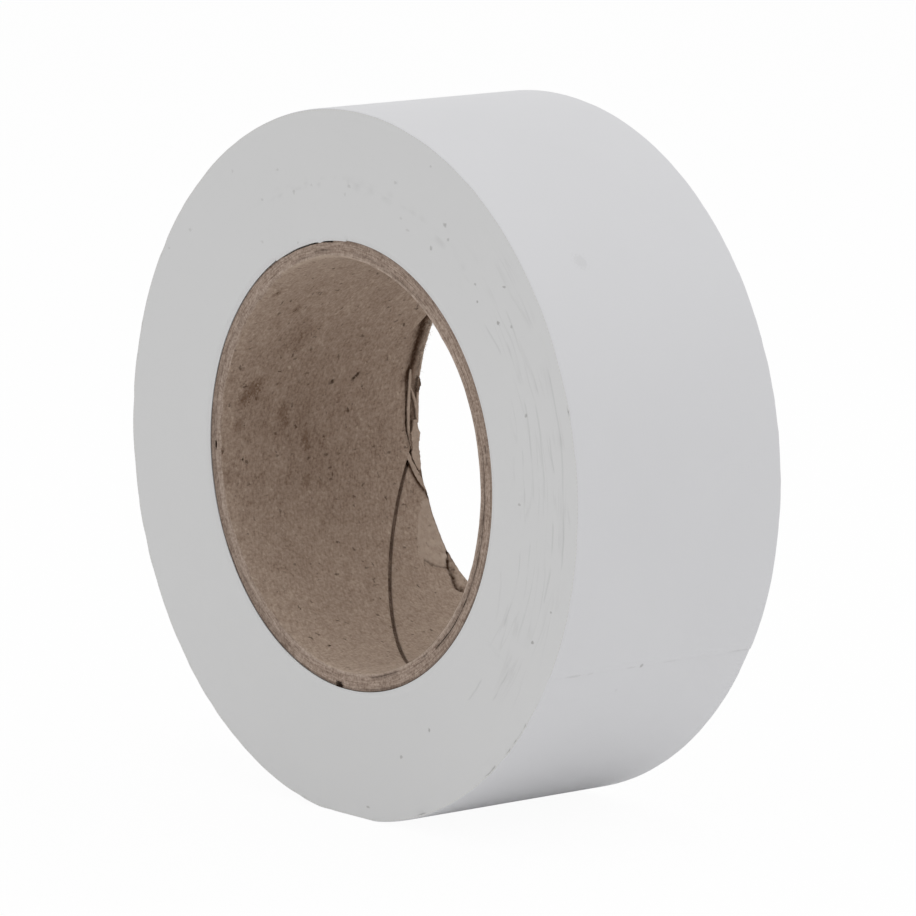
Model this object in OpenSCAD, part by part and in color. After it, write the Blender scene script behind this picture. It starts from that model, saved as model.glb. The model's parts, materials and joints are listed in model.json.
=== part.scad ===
// Roll of duct tape standing on its rim: a spiral-wound paper core, the wound tape, and a loose tail.
// Millimetres. The roll's axis lies along Y, +Z is up, and the origin is the centre of the bore.
// Angles are seen from the -Y side: 0 is +X and 90 is straight up.

/* [Core] */
// Bore diameter of the paper core
core_bore_d = 76.2; // [70:0.1:80]
// Thickness of each of the six paper plies
ply_t = 0.61; // [0.4:0.01:0.9]
// Depth at which each end of the core stands inside the tape's side faces
core_recess = 0.35; // [0:0.05:1]
// Width of the open seam in the innermost ply
inner_seam_w = 0.75; // [0.4:0.05:1.5]
// Width of the tighter seams in the plies behind it
hidden_seam_w = 0.4; // [0.2:0.05:0.8]
// Length along the axis over which a seam goes once around
seam_pitch = 141; // [100:1:250]
// Angle of the innermost seam half way along the bore
inner_seam_angle = 244.5; // [200:0.5:290]
// Angle by which each hidden seam is turned from the one before it
seam_step_angle = 64.5; // [50:0.5:70]

/* [Tape] */
// Width of the tape
tape_w = 48; // [24:0.5:75]
// Thickness of the plastic film on the outside of the tape
film_t = 0.1; // [0.06:0.01:0.2]
// Thickness of the cloth scrim in the middle of the tape
scrim_t = 0.07; // [0.05:0.01:0.15]
// Thickness of the adhesive on the inside of the tape
adhesive_t = 0.08; // [0.05:0.01:0.15]
// Clearance between the core and the first turn
core_clearance = 0.02; // [0.01:0.01:0.1]
// Clearance between the outer turn, with its tail, and the turn that it lies on
lay_clearance = 0.05; // [0.04:0.01:0.15]
// Outside diameter of the roll
roll_d = 132; // [110:0.5:160]
// Depth of the flat on which the roll stands
flat_depth = 0.5; // [0.3:0.05:1]
// Angle of the cut end of the first turn on the core
lead_end_angle = 90; // [60:0.5:120]
// Arc of the gap that the first turn leaves beside its cut end
lead_gap_angle = 31; // [10:0.5:45]

/* [Tail] */
// Angle of the cut end of the tail
tail_end_angle = -28.25; // [-45:0.25:0]
// Length along the rim of each of the three lengths in which the tail peels
tail_link_l = 12.6; // [8:0.1:18]
// Length along the rim between the cut end and the turn that comes out below it
tail_lap_l = 5.8; // [3:0.1:10]

/* [Hidden] */
$fn = 200;
// Amount by which a cutter passes the faces that it cuts
over = 1;
// Slices of a twisted seam cutter
seam_slices = 14;
// Colours of the paper, the white film, the cloth and the adhesive
paper_color = "#8a7a6c";
film_color = "#d6d6d8";
scrim_color = "#e4e2da";
adhesive_color = "#d9d4c4";

bore_r = core_bore_d / 2;
core_r = bore_r + 6 * ply_t;
core_l = tape_w - 2 * core_recess;
tape_t = film_t + scrim_t + adhesive_t;
// Radius of the first turn's outside
first_r = core_r + core_clearance + tape_t;
// Distances of the outer turn's layers from the turn that it lies on
adhesive_s = lay_clearance;
scrim_s = adhesive_s + adhesive_t;
film_s = scrim_s + scrim_t;
rim_s = film_s + film_t;
roll_r = roll_d / 2;
// Largest radius of the turn under the outer one, at its step
pack_r = roll_r - rim_s;
reach = 2 * roll_r;

link_angle = tail_link_l / roll_r * 180 / PI;
step_angle = tail_end_angle - tail_lap_l / roll_r * 180 / PI;
tail_mid_angle = tail_end_angle + link_angle;
tail_root_angle = tail_end_angle + 2 * link_angle;
tail_start_angle = tail_end_angle + 3 * link_angle;

// Outside radius of the outer turn, which shrinks by one thickness of tape in each turn
function outer_r(a) = roll_r - tape_t * (a - step_angle) / 360;
floor_z = -(outer_r(270) - flat_depth);

// Least gap between the two ends of the outer turn, measured on points along both ends
function rim_point(a) = (outer_r(a) - tape_t / 2) * [cos(a), sin(a)];
tail_points = [for (i = [0:20]) rim_point(tail_end_angle + i)];
step_points = [for (i = [0:20]) rim_point(step_angle + 360 - i)];
end_gap = min([for (p = tail_points) for (q = step_points) norm(p - q)]) - tape_t;
echo(least_gap_of_outer_turn_to_itself = end_gap);

// Pie slice from angle a0 to angle a1, at most 150 degrees wide
module slice(a0, a1) {
  angles = [for (i = [0:4]) a0 + (a1 - a0) * i / 4];
  polygon(concat([[0, 0]], [for (a = angles) reach * [cos(a), sin(a)]]));
}

// Half plane on the side of +Y of the flat drawing
module half_plane() {
  translate([-reach, 0]) square([2 * reach, reach]);
}

// Filled outline of the winding, s outside the turn under the outer one: two half discs on two centres
module winding(s) {
  intersection() {
    rotate(step_angle) {
      intersection() {
        translate([tape_t / 4, 0]) circle(r = pack_r - tape_t / 4 + s);
        half_plane();
      }
      intersection() {
        translate([-tape_t / 4, 0]) circle(r = pack_r - 3 * tape_t / 4 + s);
        mirror([0, 1]) half_plane();
      }
    }
    translate([-reach, floor_z + rim_s - s]) square([2 * reach, 2 * reach]);
  }
}

// A flat drawing spread over a width, or else over the whole width of the tape
module across(w = tape_w) {
  rotate([90, 0, 0]) linear_extrude(height = w, center = true) children();
}

// Cutter of a seam that runs around the axis like a screw thread
module seam(r_in, seam_w, angle) {
  turn = 360 * (core_l + 2 * over) / seam_pitch;
  arc_w = seam_w / sin(atan(seam_pitch / (2 * PI * r_in)));
  rotate([90, 0, 0])
    linear_extrude(height = core_l + 2 * over, center = true, twist = -turn, slices = seam_slices, $fn = 4)
      rotate(angle - turn / 2)
        translate([r_in - over, -arc_w / 2])
          square([ply_t + 2 * over, arc_w]);
}

// Tube of one paper ply, number n counted from the bore, open along its seam
module ply(n, seam_w) {
  r_in = bore_r + (n - 1) * ply_t;
  color(paper_color)
    difference() {
      across(core_l) difference() {
        circle(r = r_in + ply_t);
        circle(r = r_in);
      }
      seam(r_in, seam_w, inner_seam_angle + (n - 1) * seam_step_angle);
    }
}

// One layer of the outer turn between s0 and s1, from the tail's start around to the step
module outer_layer(s0, s1) {
  across() difference() {
    winding(s1);
    winding(s0);
    slice(step_angle, tail_start_angle);
  }
}

// One layer of a tail length between s0 and s1, from angle a0 up
module tail_layer(s0, s1, a0) {
  across() intersection() {
    difference() {
      winding(s1);
      winding(s0);
    }
    slice(a0, a0 + link_angle);
  }
}

module core_inner_ply() ply(1, inner_seam_w);

module core_second_ply() ply(2, hidden_seam_w);

module core_third_ply() ply(3, hidden_seam_w);

module core_fourth_ply() ply(4, hidden_seam_w);

module core_fifth_ply() ply(5, hidden_seam_w);

module core_outer_ply() ply(6, hidden_seam_w);

// The innermost turn of tape: it starts at its cut end and comes back to it across a gap
module first_turn() {
  color(film_color)
    across() difference() {
      circle(r = first_r);
      circle(r = core_r + core_clearance);
      slice(lead_end_angle, lead_end_angle + lead_gap_angle);
    }
}

// The turns between the first and the outer one, wound tight
module wound_turns() {
  color(film_color)
    across() difference() {
      winding(0);
      circle(r = first_r);
    }
}

module outer_turn_adhesive() {
  color(adhesive_color) outer_layer(adhesive_s, scrim_s);
}

module outer_turn_scrim() {
  color(scrim_color) outer_layer(scrim_s, film_s);
}

module outer_turn_film() {
  color(film_color) outer_layer(film_s, rim_s);
}

module tail_root_adhesive() {
  color(adhesive_color) tail_layer(adhesive_s, scrim_s, tail_root_angle);
}

module tail_root_scrim() {
  color(scrim_color) tail_layer(scrim_s, film_s, tail_root_angle);
}

module tail_root_film() {
  color(film_color) tail_layer(film_s, rim_s, tail_root_angle);
}

module tail_mid_adhesive() {
  color(adhesive_color) tail_layer(adhesive_s, scrim_s, tail_mid_angle);
}

module tail_mid_scrim() {
  color(scrim_color) tail_layer(scrim_s, film_s, tail_mid_angle);
}

module tail_mid_film() {
  color(film_color) tail_layer(film_s, rim_s, tail_mid_angle);
}

module tail_tip_adhesive() {
  color(adhesive_color) tail_layer(adhesive_s, scrim_s, tail_end_angle);
}

module tail_tip_scrim() {
  color(scrim_color) tail_layer(scrim_s, film_s, tail_end_angle);
}

module tail_tip_film() {
  color(film_color) tail_layer(film_s, rim_s, tail_end_angle);
}

core_inner_ply();
core_second_ply();
core_third_ply();
core_fourth_ply();
core_fifth_ply();
core_outer_ply();
first_turn();
wound_turns();
outer_turn_adhesive();
outer_turn_scrim();
outer_turn_film();
tail_root_adhesive();
tail_root_scrim();
tail_root_film();
tail_mid_adhesive();
tail_mid_scrim();
tail_mid_film();
tail_tip_adhesive();
tail_tip_scrim();
tail_tip_film();
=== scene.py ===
"""Roll of white duct tape on a paper core: the looks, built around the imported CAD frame.

Lengths in the classes are millimetres and angles are degrees, seen from the -Y side with 0 along +X
and 90 straight up, as in the part's source. Meshes are in metres, in the frame's own axes.
"""

import json
import logging
from dataclasses import dataclass
from enum import Enum

import bpy
import numpy as np
from mathutils import Matrix, Vector


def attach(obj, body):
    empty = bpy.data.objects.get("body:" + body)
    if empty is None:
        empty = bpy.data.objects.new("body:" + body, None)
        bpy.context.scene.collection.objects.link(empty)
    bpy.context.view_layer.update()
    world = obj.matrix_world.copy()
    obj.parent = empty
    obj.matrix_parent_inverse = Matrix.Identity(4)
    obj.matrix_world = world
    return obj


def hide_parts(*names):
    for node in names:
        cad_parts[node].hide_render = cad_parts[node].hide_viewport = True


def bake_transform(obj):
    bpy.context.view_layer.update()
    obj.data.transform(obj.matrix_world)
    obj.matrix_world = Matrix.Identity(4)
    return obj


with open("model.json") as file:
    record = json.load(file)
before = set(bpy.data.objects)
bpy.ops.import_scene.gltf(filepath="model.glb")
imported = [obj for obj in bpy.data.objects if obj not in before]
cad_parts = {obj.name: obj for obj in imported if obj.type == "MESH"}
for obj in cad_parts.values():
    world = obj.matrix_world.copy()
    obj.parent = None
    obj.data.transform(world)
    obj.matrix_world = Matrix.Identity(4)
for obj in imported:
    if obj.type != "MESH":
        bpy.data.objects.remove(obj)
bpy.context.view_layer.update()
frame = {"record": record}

MM = 0.001
LOG = logging.getLogger("duct_tape_roll")

Tree = bpy.types.NodeTree
Socket = bpy.types.NodeSocket
Material = bpy.types.Material
Piece = bpy.types.Object
Path = tuple[tuple[float, float], ...]
Humps = tuple[tuple[float, float, float], ...]
Marks = tuple[tuple[float, float, float, float], ...]

# One band of the wave texture per unit of its coordinates
BAND_SCALE = 0.314
# Size in millimetres of the noise that frays a spot's edge
FRAY_SIZE = 0.5
WHITE = (1.0, 1.0, 1.0, 1.0)


class Body(Enum):
    """The moving bodies of the frame."""

    ROLL = "roll"
    TAIL_ROOT = "tail_root"
    TAIL_MID = "tail_mid"
    TAIL_TIP = "tail_tip"


class Layer(Enum):
    """The three layers of the tape, from the sticky side out."""

    ADHESIVE = "adhesive"
    SCRIM = "scrim"
    FILM = "film"


# Numbers over arrays


def smoothstep(x: np.ndarray, low: float, high: float) -> np.ndarray:
    """Smooth ramp from 0 at low to 1 at high: t * t * (3 - 2 t) of the share t of the way."""
    t = np.clip((x - low) / (high - low), 0.0, 1.0)
    return t * t * (3.0 - 2.0 * t)


def window(x: np.ndarray, low: float, high: float, soft: float) -> np.ndarray:
    """Band that is 1 from low to high and fades over soft: a rising times a falling smooth ramp."""
    return smoothstep(x, low - soft, low) * (1.0 - smoothstep(x, high, high + soft))


def bell(x: np.ndarray, width: float) -> np.ndarray:
    """Bell curve that is 1 at 0 and falls to 1/e at width."""
    return np.exp(-((x / width) ** 2))


def bells(x: np.ndarray, humps: Humps) -> np.ndarray:
    """Sum of bell curves, each given by its place, width and height."""
    return np.sum([height * bell(x - at, width) for at, width, height in humps], axis=0)


def half_turn(angle: np.ndarray) -> np.ndarray:
    """Angles in degrees brought to the range from -180 to 180."""
    return np.mod(angle + 180.0, 360.0) - 180.0


def lattice_noise(u: np.ndarray, v: np.ndarray, seed: int) -> np.ndarray:
    """Smooth seeded noise on a unit lattice.

    Args:
        u: First coordinate, in cells.
        v: Second coordinate, in cells.
        seed: Seed of the lattice values.

    Returns:
        Values from -1 to 1, blended from the four lattice corners with smoothed shares.
    """
    size = 256
    corners = np.random.default_rng(seed).uniform(-1.0, 1.0, (size, size))
    iu, iv = np.floor(u).astype(int), np.floor(v).astype(int)
    fu, fv = u - iu, v - iv
    fu, fv = fu * fu * (3.0 - 2.0 * fu), fv * fv * (3.0 - 2.0 * fv)
    a = corners[iu % size, iv % size]
    b = corners[(iu + 1) % size, iv % size]
    c = corners[iu % size, (iv + 1) % size]
    d = corners[(iu + 1) % size, (iv + 1) % size]
    return (a * (1 - fu) + b * fu) * (1 - fv) + (c * (1 - fu) + d * fu) * fv


def rough(u: np.ndarray, v: np.ndarray | float, cell: float, seed: int, octaves: int = 3) -> np.ndarray:
    """Fractal roughness: lattice noise at cell, half of it at half the cell, and so on.

    Args:
        u: First coordinate.
        v: Second coordinate.
        cell: Size of the coarsest feature, in the coordinates' unit.
        seed: Seed of the first octave.
        octaves: Number of octaves.

    Returns:
        Values from about -1 to 1.
    """
    u, v = np.broadcast_arrays(u, v)
    shares = 0.5 ** np.arange(octaves)
    layers = [
        share * lattice_noise(u / cell * 2**k + 7.3 * k, v / cell * 2**k + 3.1 * k, seed + k)
        for k, share in enumerate(shares)
    ]
    return np.sum(layers, axis=0) / shares.sum()


def line_distance(u: np.ndarray, v: np.ndarray, path: Path) -> np.ndarray:
    """Distance of points from a bent line.

    Args:
        u: First coordinate of the points.
        v: Second coordinate of the points.
        path: Corners of the line.

    Returns:
        Least distance to any of the line's segments.
    """
    best = np.full(np.broadcast(u, v).shape, np.inf)
    for (au, av), (bu, bv) in zip(path, path[1:]):
        du, dv = bu - au, bv - av
        t = np.clip(((u - au) * du + (v - av) * dv) / (du * du + dv * dv), 0.0, 1.0)
        best = np.minimum(best, np.hypot(u - au - t * du, v - av - t * dv))
    return best


def along(x: np.ndarray, knots: Path, outside: float | None = None) -> np.ndarray:
    """Straight lines between (x, value) knots; beyond them outside, or else the end knots' values."""
    at, value = np.array(knots).T
    return np.interp(x, at, value, left=outside, right=outside)


def around(r: np.ndarray | float, angle: np.ndarray, y: np.ndarray | float) -> np.ndarray:
    """Points in metres, x = r cos, y, z = r sin, of radii, degrees about the axis and places along it."""
    a = np.radians(angle)
    return np.stack(np.broadcast_arrays(r * np.cos(a), y, r * np.sin(a)), axis=-1) * MM


def graded(*stretches: tuple[float, float, float]) -> np.ndarray:
    """Rising values over stretches of (start, end, step), in order, with shared ends once."""
    parts = [np.linspace(a, b, max(2, round(abs(b - a) / step) + 1)) for a, b, step in stretches]
    return np.concatenate([parts[0]] + [p[1:] for p in parts[1:]])


# Meshes


@dataclass
class Slab:
    """Closed solid between two matching grids of points.

    top and under are (rows, columns, 3) arrays. The walls join their borders. A ring has no end
    walls: its last row joins its first. top's faces look along rows x columns.
    """

    top: np.ndarray
    under: np.ndarray
    ring: bool = False

    def points(self) -> np.ndarray:
        """All points, top first, as (n, 3)."""
        return np.concatenate([self.top.reshape(-1, 3), self.under.reshape(-1, 3)])

    def faces(self) -> np.ndarray:
        """All faces as (n, 4) point numbers: top, under turned over, then the walls."""
        rows, cols = self.top.shape[:2]
        number = np.arange(rows * cols).reshape(rows, cols)
        if self.ring:
            number = np.concatenate([number, number[:1]])
        below = number + rows * cols
        walls = [self._wall(number[:, 0], below[:, 0]), self._wall(below[:, -1], number[:, -1])]
        if not self.ring:
            walls += [self._wall(below[0], number[0]), self._wall(number[-1], below[-1])]
        return np.concatenate([self._cells(number), self._cells(below)[:, ::-1], *walls])

    @staticmethod
    def _cells(number: np.ndarray) -> np.ndarray:
        """The grid's cells as (n, 4)."""
        corners = (number[:-1, :-1], number[1:, :-1], number[1:, 1:], number[:-1, 1:])
        return np.stack(corners, axis=-1).reshape(-1, 4)

    @staticmethod
    def _wall(a: np.ndarray, b: np.ndarray) -> np.ndarray:
        """The faces between two borders as (n, 4)."""
        return np.stack([a[:-1], b[:-1], b[1:], a[1:]], axis=-1)


def make_mesh(name: str, points: np.ndarray, faces: np.ndarray, sharp_deg: float = 40.0) -> Piece:
    """Make a mesh object at the origin.

    Args:
        name: Name of the piece.
        points: (n, 3) points in metres.
        faces: (m, 4) point numbers.
        sharp_deg: Edges that bend more than this stay sharp.

    Returns:
        The new object, linked to the scene.
    """
    count, corners = faces.shape
    mesh = bpy.data.meshes.new(name)
    mesh.vertices.add(len(points))
    mesh.vertices.foreach_set("co", points.astype(np.float32).ravel())
    mesh.loops.add(count * corners)
    mesh.loops.foreach_set("vertex_index", faces.astype(np.int32).ravel())
    mesh.polygons.add(count)
    mesh.polygons.foreach_set("loop_start", np.arange(0, count * corners, corners, dtype=np.int32))
    mesh.update(calc_edges=True)
    mesh.validate()
    mesh.polygons.foreach_set("use_smooth", np.ones(len(mesh.polygons), dtype=bool))
    mesh.set_sharp_from_angle(angle=np.radians(sharp_deg))
    piece = bpy.data.objects.new(name, mesh)
    bpy.context.collection.objects.link(piece)
    return piece


def add_uv(piece: Piece, coords: np.ndarray) -> None:
    """Give a piece a UV map.

    Args:
        piece: The piece.
        coords: (n, 2) coordinates of its points, in metres along the surface.
    """
    layer = piece.data.uv_layers.new(name="surface")
    corner = np.empty(len(piece.data.loops), dtype=np.int32)
    piece.data.loops.foreach_get("vertex_index", corner)
    layer.uv.foreach_set("vector", coords[corner].astype(np.float32).ravel())


def add_mark(piece: Piece, name: str, values: np.ndarray) -> None:
    """Give a piece a number per point, under a name that its material reads."""
    piece.data.attributes.new(name, "FLOAT", "POINT").data.foreach_set("value", values.astype(np.float32))


def place(piece: Piece, material: Material, body: Body, slot: str, *nodes: str) -> Piece:
    """Dress a piece, ride it on its body and let it stand for CAD nodes.

    Args:
        piece: The piece.
        material: Its material.
        body: The body that it moves with.
        slot: The record's material slot; not used.
        nodes: CAD nodes that it replaces.

    Returns:
        The piece.
    """
    piece.data.materials.append(material)
    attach(piece, body.value)
    if nodes:
        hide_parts(*nodes)
    LOG.info("%s: %d points, %d faces", piece.name, len(piece.data.vertices), len(piece.data.polygons))
    return piece


def facing(piece: Piece, axis: np.ndarray | None, least: float) -> None:
    """Give a piece's faces that look along an axis, or away from the roll's own, its second material.

    Args:
        piece: The piece.
        axis: The direction, either way along it, or nothing for straight out from the roll's axis.
        least: Least cosine between a face's normal and the direction.
    """
    count = len(piece.data.polygons)
    normal, centre = np.empty(count * 3, np.float32), np.empty(count * 3, np.float32)
    piece.data.polygons.foreach_get("normal", normal)
    piece.data.polygons.foreach_get("center", centre)
    if axis is None:
        flat = centre.reshape(-1, 3) * np.array([1.0, 0.0, 1.0])
        share = (normal.reshape(-1, 3) * flat).sum(axis=1) / np.linalg.norm(flat, axis=1)
    else:
        share = np.abs(normal.reshape(-1, 3) @ axis)
    piece.data.polygons.foreach_set("material_index", (share > least).astype(np.int32))


# Materials


def linear(hex_color: str) -> tuple[float, float, float, float]:
    """Turn an sRGB hex colour to linear RGBA.

    Args:
        hex_color: Such as "#8a7a6c".

    Returns:
        Linear red, green, blue and alpha 1.
    """
    srgb = np.array([int(hex_color[i : i + 2], 16) for i in (1, 3, 5)]) / 255.0
    value = np.where(srgb <= 0.04045, srgb / 12.92, ((srgb + 0.055) / 1.055) ** 2.4)
    return (*(float(c) for c in value), 1.0)


def connect(node: bpy.types.Node, inputs: dict) -> None:
    """Set or link a node's inputs.

    Args:
        node: The node.
        inputs: Socket name or number to a value, or to another node's output socket.
    """
    for key, value in inputs.items():
        if isinstance(value, Socket):
            node.id_data.links.new(value, node.inputs[key])
        else:
            node.inputs[key].default_value = value


def add(tree: Tree, kind: str, inputs: dict | None = None, **settings: object) -> bpy.types.Node:
    """Add a node with its settings and links.

    Args:
        tree: The node tree.
        kind: The node's type, without its ShaderNode prefix.
        inputs: Socket name or number to a value, or to another node's output socket.
        settings: Properties of the node.

    Returns:
        The node.
    """
    node = tree.nodes.new(f"ShaderNode{kind}")
    for key, value in settings.items():
        setattr(node, key, value)
    connect(node, inputs or {})
    return node


def calc(operation: str, *values: Socket | float, clamp: bool = False) -> Socket:
    """Output of a sum over terms, of which the first is an output, kept from 0 to 1 if clamped."""
    terms = dict(enumerate(values))
    return add(values[0].id_data, "Math", terms, operation=operation, use_clamp=clamp).outputs[0]


def weighted(parts: list[tuple[Socket, float]]) -> Socket:
    """Weighted sum of outputs.

    Args:
        parts: Outputs of one node tree, each with its weight.

    Returns:
        The sum's output.
    """
    total: Socket | float = 0.0
    for socket, weight in parts:
        total = calc("MULTIPLY_ADD", socket, weight, total)
    return total


def ramp(value: Socket, low: float, high: float, first: float = 0.0, last: float = 1.0) -> Socket:
    """Output of a straight ramp from first at low to last at high, level beyond its ends."""
    ends = {"From Min": low, "From Max": high, "To Min": first, "To Max": last}
    return add(value.id_data, "MapRange", {"Value": value, **ends}).outputs[0]


def mix(share: Socket, first: Socket | tuple, second: Socket | tuple) -> Socket:
    """Output of the mix of two colours, with share as the second one's part."""
    return add(share.id_data, "Mix", {"Factor": share, 6: first, 7: second}, data_type="RGBA").outputs[2]


def noise(coords: Socket, size: float, detail: float, roughness: float = 0.5) -> Socket:
    """Output of even noise with features of a size in the coordinates' own unit."""
    inputs = {"Vector": coords, "Scale": 1 / size, "Detail": detail, "Roughness": roughness}
    return add(coords.id_data, "TexNoise", inputs).outputs[0]


def ring_noise(coords: Socket, across: float, way: float, roughness: float = 0.5) -> Socket:
    """Noise over the radius and the way around the roll's axis.

    Args:
        coords: Output of the object coordinates.
        across: Size of its features along the radius, in millimetres.
        way: Their size around the axis, as an angle in radians.
        roughness: Strength of the finer noise in it.

    Returns:
        The noise's output.
    """
    tree = coords.id_data
    axes = add(tree, "SeparateXYZ", {0: coords}).outputs
    flat = add(tree, "VectorMath", {0: coords, 1: (1.0, 0.0, 1.0)}, operation="MULTIPLY")
    radius = add(tree, "VectorMath", {0: flat.outputs[0]}, operation="LENGTH").outputs["Value"]
    rings = calc("MULTIPLY", radius, 1 / (across * MM))
    turn = calc("MULTIPLY", calc("ARCTAN2", axes[2], axes[0]), 1 / way)
    sheet = add(tree, "CombineXYZ", {0: rings, 1: turn})
    return noise(sheet.outputs[0], 1.0, 2.0, roughness)


def weave(uv: Socket, thread: float, bend: float, joined: str) -> Socket:
    """Threads of a plain cloth in both directions.

    Args:
        uv: The UV map's output.
        thread: Distance between threads in millimetres.
        bend: How much they waver.
        joined: Operation that joins the two directions.

    Returns:
        Output of the threads' height.
    """
    tree = uv.id_data
    threads = add(tree, "Mapping", {"Vector": uv, "Scale": (1 / (thread * MM),) * 3})
    wave = {"Vector": threads.outputs[0], "Scale": BAND_SCALE, "Distortion": bend}
    warp, weft = (add(tree, "TexWave", wave, bands_direction=axis).outputs["Fac"] for axis in "XY")
    return calc(joined, warp, weft)


def laid(uv: Socket, turn: float, length: float, width: float) -> Socket:
    """Coordinates for a pattern that is drawn out along one direction.

    Args:
        uv: The UV map's output.
        turn: The direction, in degrees from the map's first axis.
        length: Unit along it, in millimetres.
        width: Unit across it, in millimetres.

    Returns:
        Output of the coordinates.
    """
    size = (length * MM, width * MM, 1.0)
    inputs = {"Vector": uv, "Rotation": (0.0, 0.0, float(np.radians(turn))), "Scale": size}
    return add(uv.id_data, "Mapping", inputs, vector_type="TEXTURE").outputs[0]


def mark(tree: Tree, name: str) -> Socket:
    """Output of a number that the piece's points carry."""
    return add(tree, "Attribute", attribute_name=name).outputs["Fac"]


def bump(height: Socket, strength: float, depth: float, invert: bool = False) -> Socket:
    """Output of the normal of a fine relief, depth millimetres deep, or inwards if inverted."""
    inputs = {"Height": height, "Strength": strength, "Distance": depth * MM}
    return add(height.id_data, "Bump", inputs, invert=invert).outputs[0]


def new_material(name: str) -> tuple[Material, Tree, bpy.types.Node]:
    """Start a material with its shader.

    Args:
        name: The material's name.

    Returns:
        The material, its node tree and its shader node.
    """
    material = bpy.data.materials.new(name)
    material.use_nodes = True
    tree = material.node_tree
    return material, tree, tree.nodes["Principled BSDF"]


@dataclass(frozen=True)
class Spot:
    """One stray mark on a surface: an ellipsoid in its texture coordinates, in millimetres."""

    centre: tuple[float, float, float]
    half: tuple[float, float, float]
    depth: float


def spot_mask(coords: Socket, spots: tuple[Spot, ...]) -> Socket:
    """Mask of stray marks with frayed edges.

    Args:
        coords: Output of the texture coordinates, in metres.
        spots: The marks.

    Returns:
        Output that is each mark's depth inside it and 0 elsewhere.
    """
    tree = coords.id_data
    fray = noise(coords, FRAY_SIZE * MM, 3.0)
    masks = []
    for spot in spots:
        away = add(tree, "VectorMath", {0: coords, 1: [c * MM for c in spot.centre]}, operation="SUBTRACT")
        scaled = {0: away.outputs[0], 1: [1 / (h * MM) for h in spot.half]}
        reach = add(tree, "VectorMath", scaled, operation="MULTIPLY")
        length = add(tree, "VectorMath", {0: reach.outputs[0]}, operation="LENGTH").outputs["Value"]
        masks.append((ramp(calc("MULTIPLY", length, fray), 0.75, 0.35, 0.0, spot.depth), 1.0))
    return weighted(masks)


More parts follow.
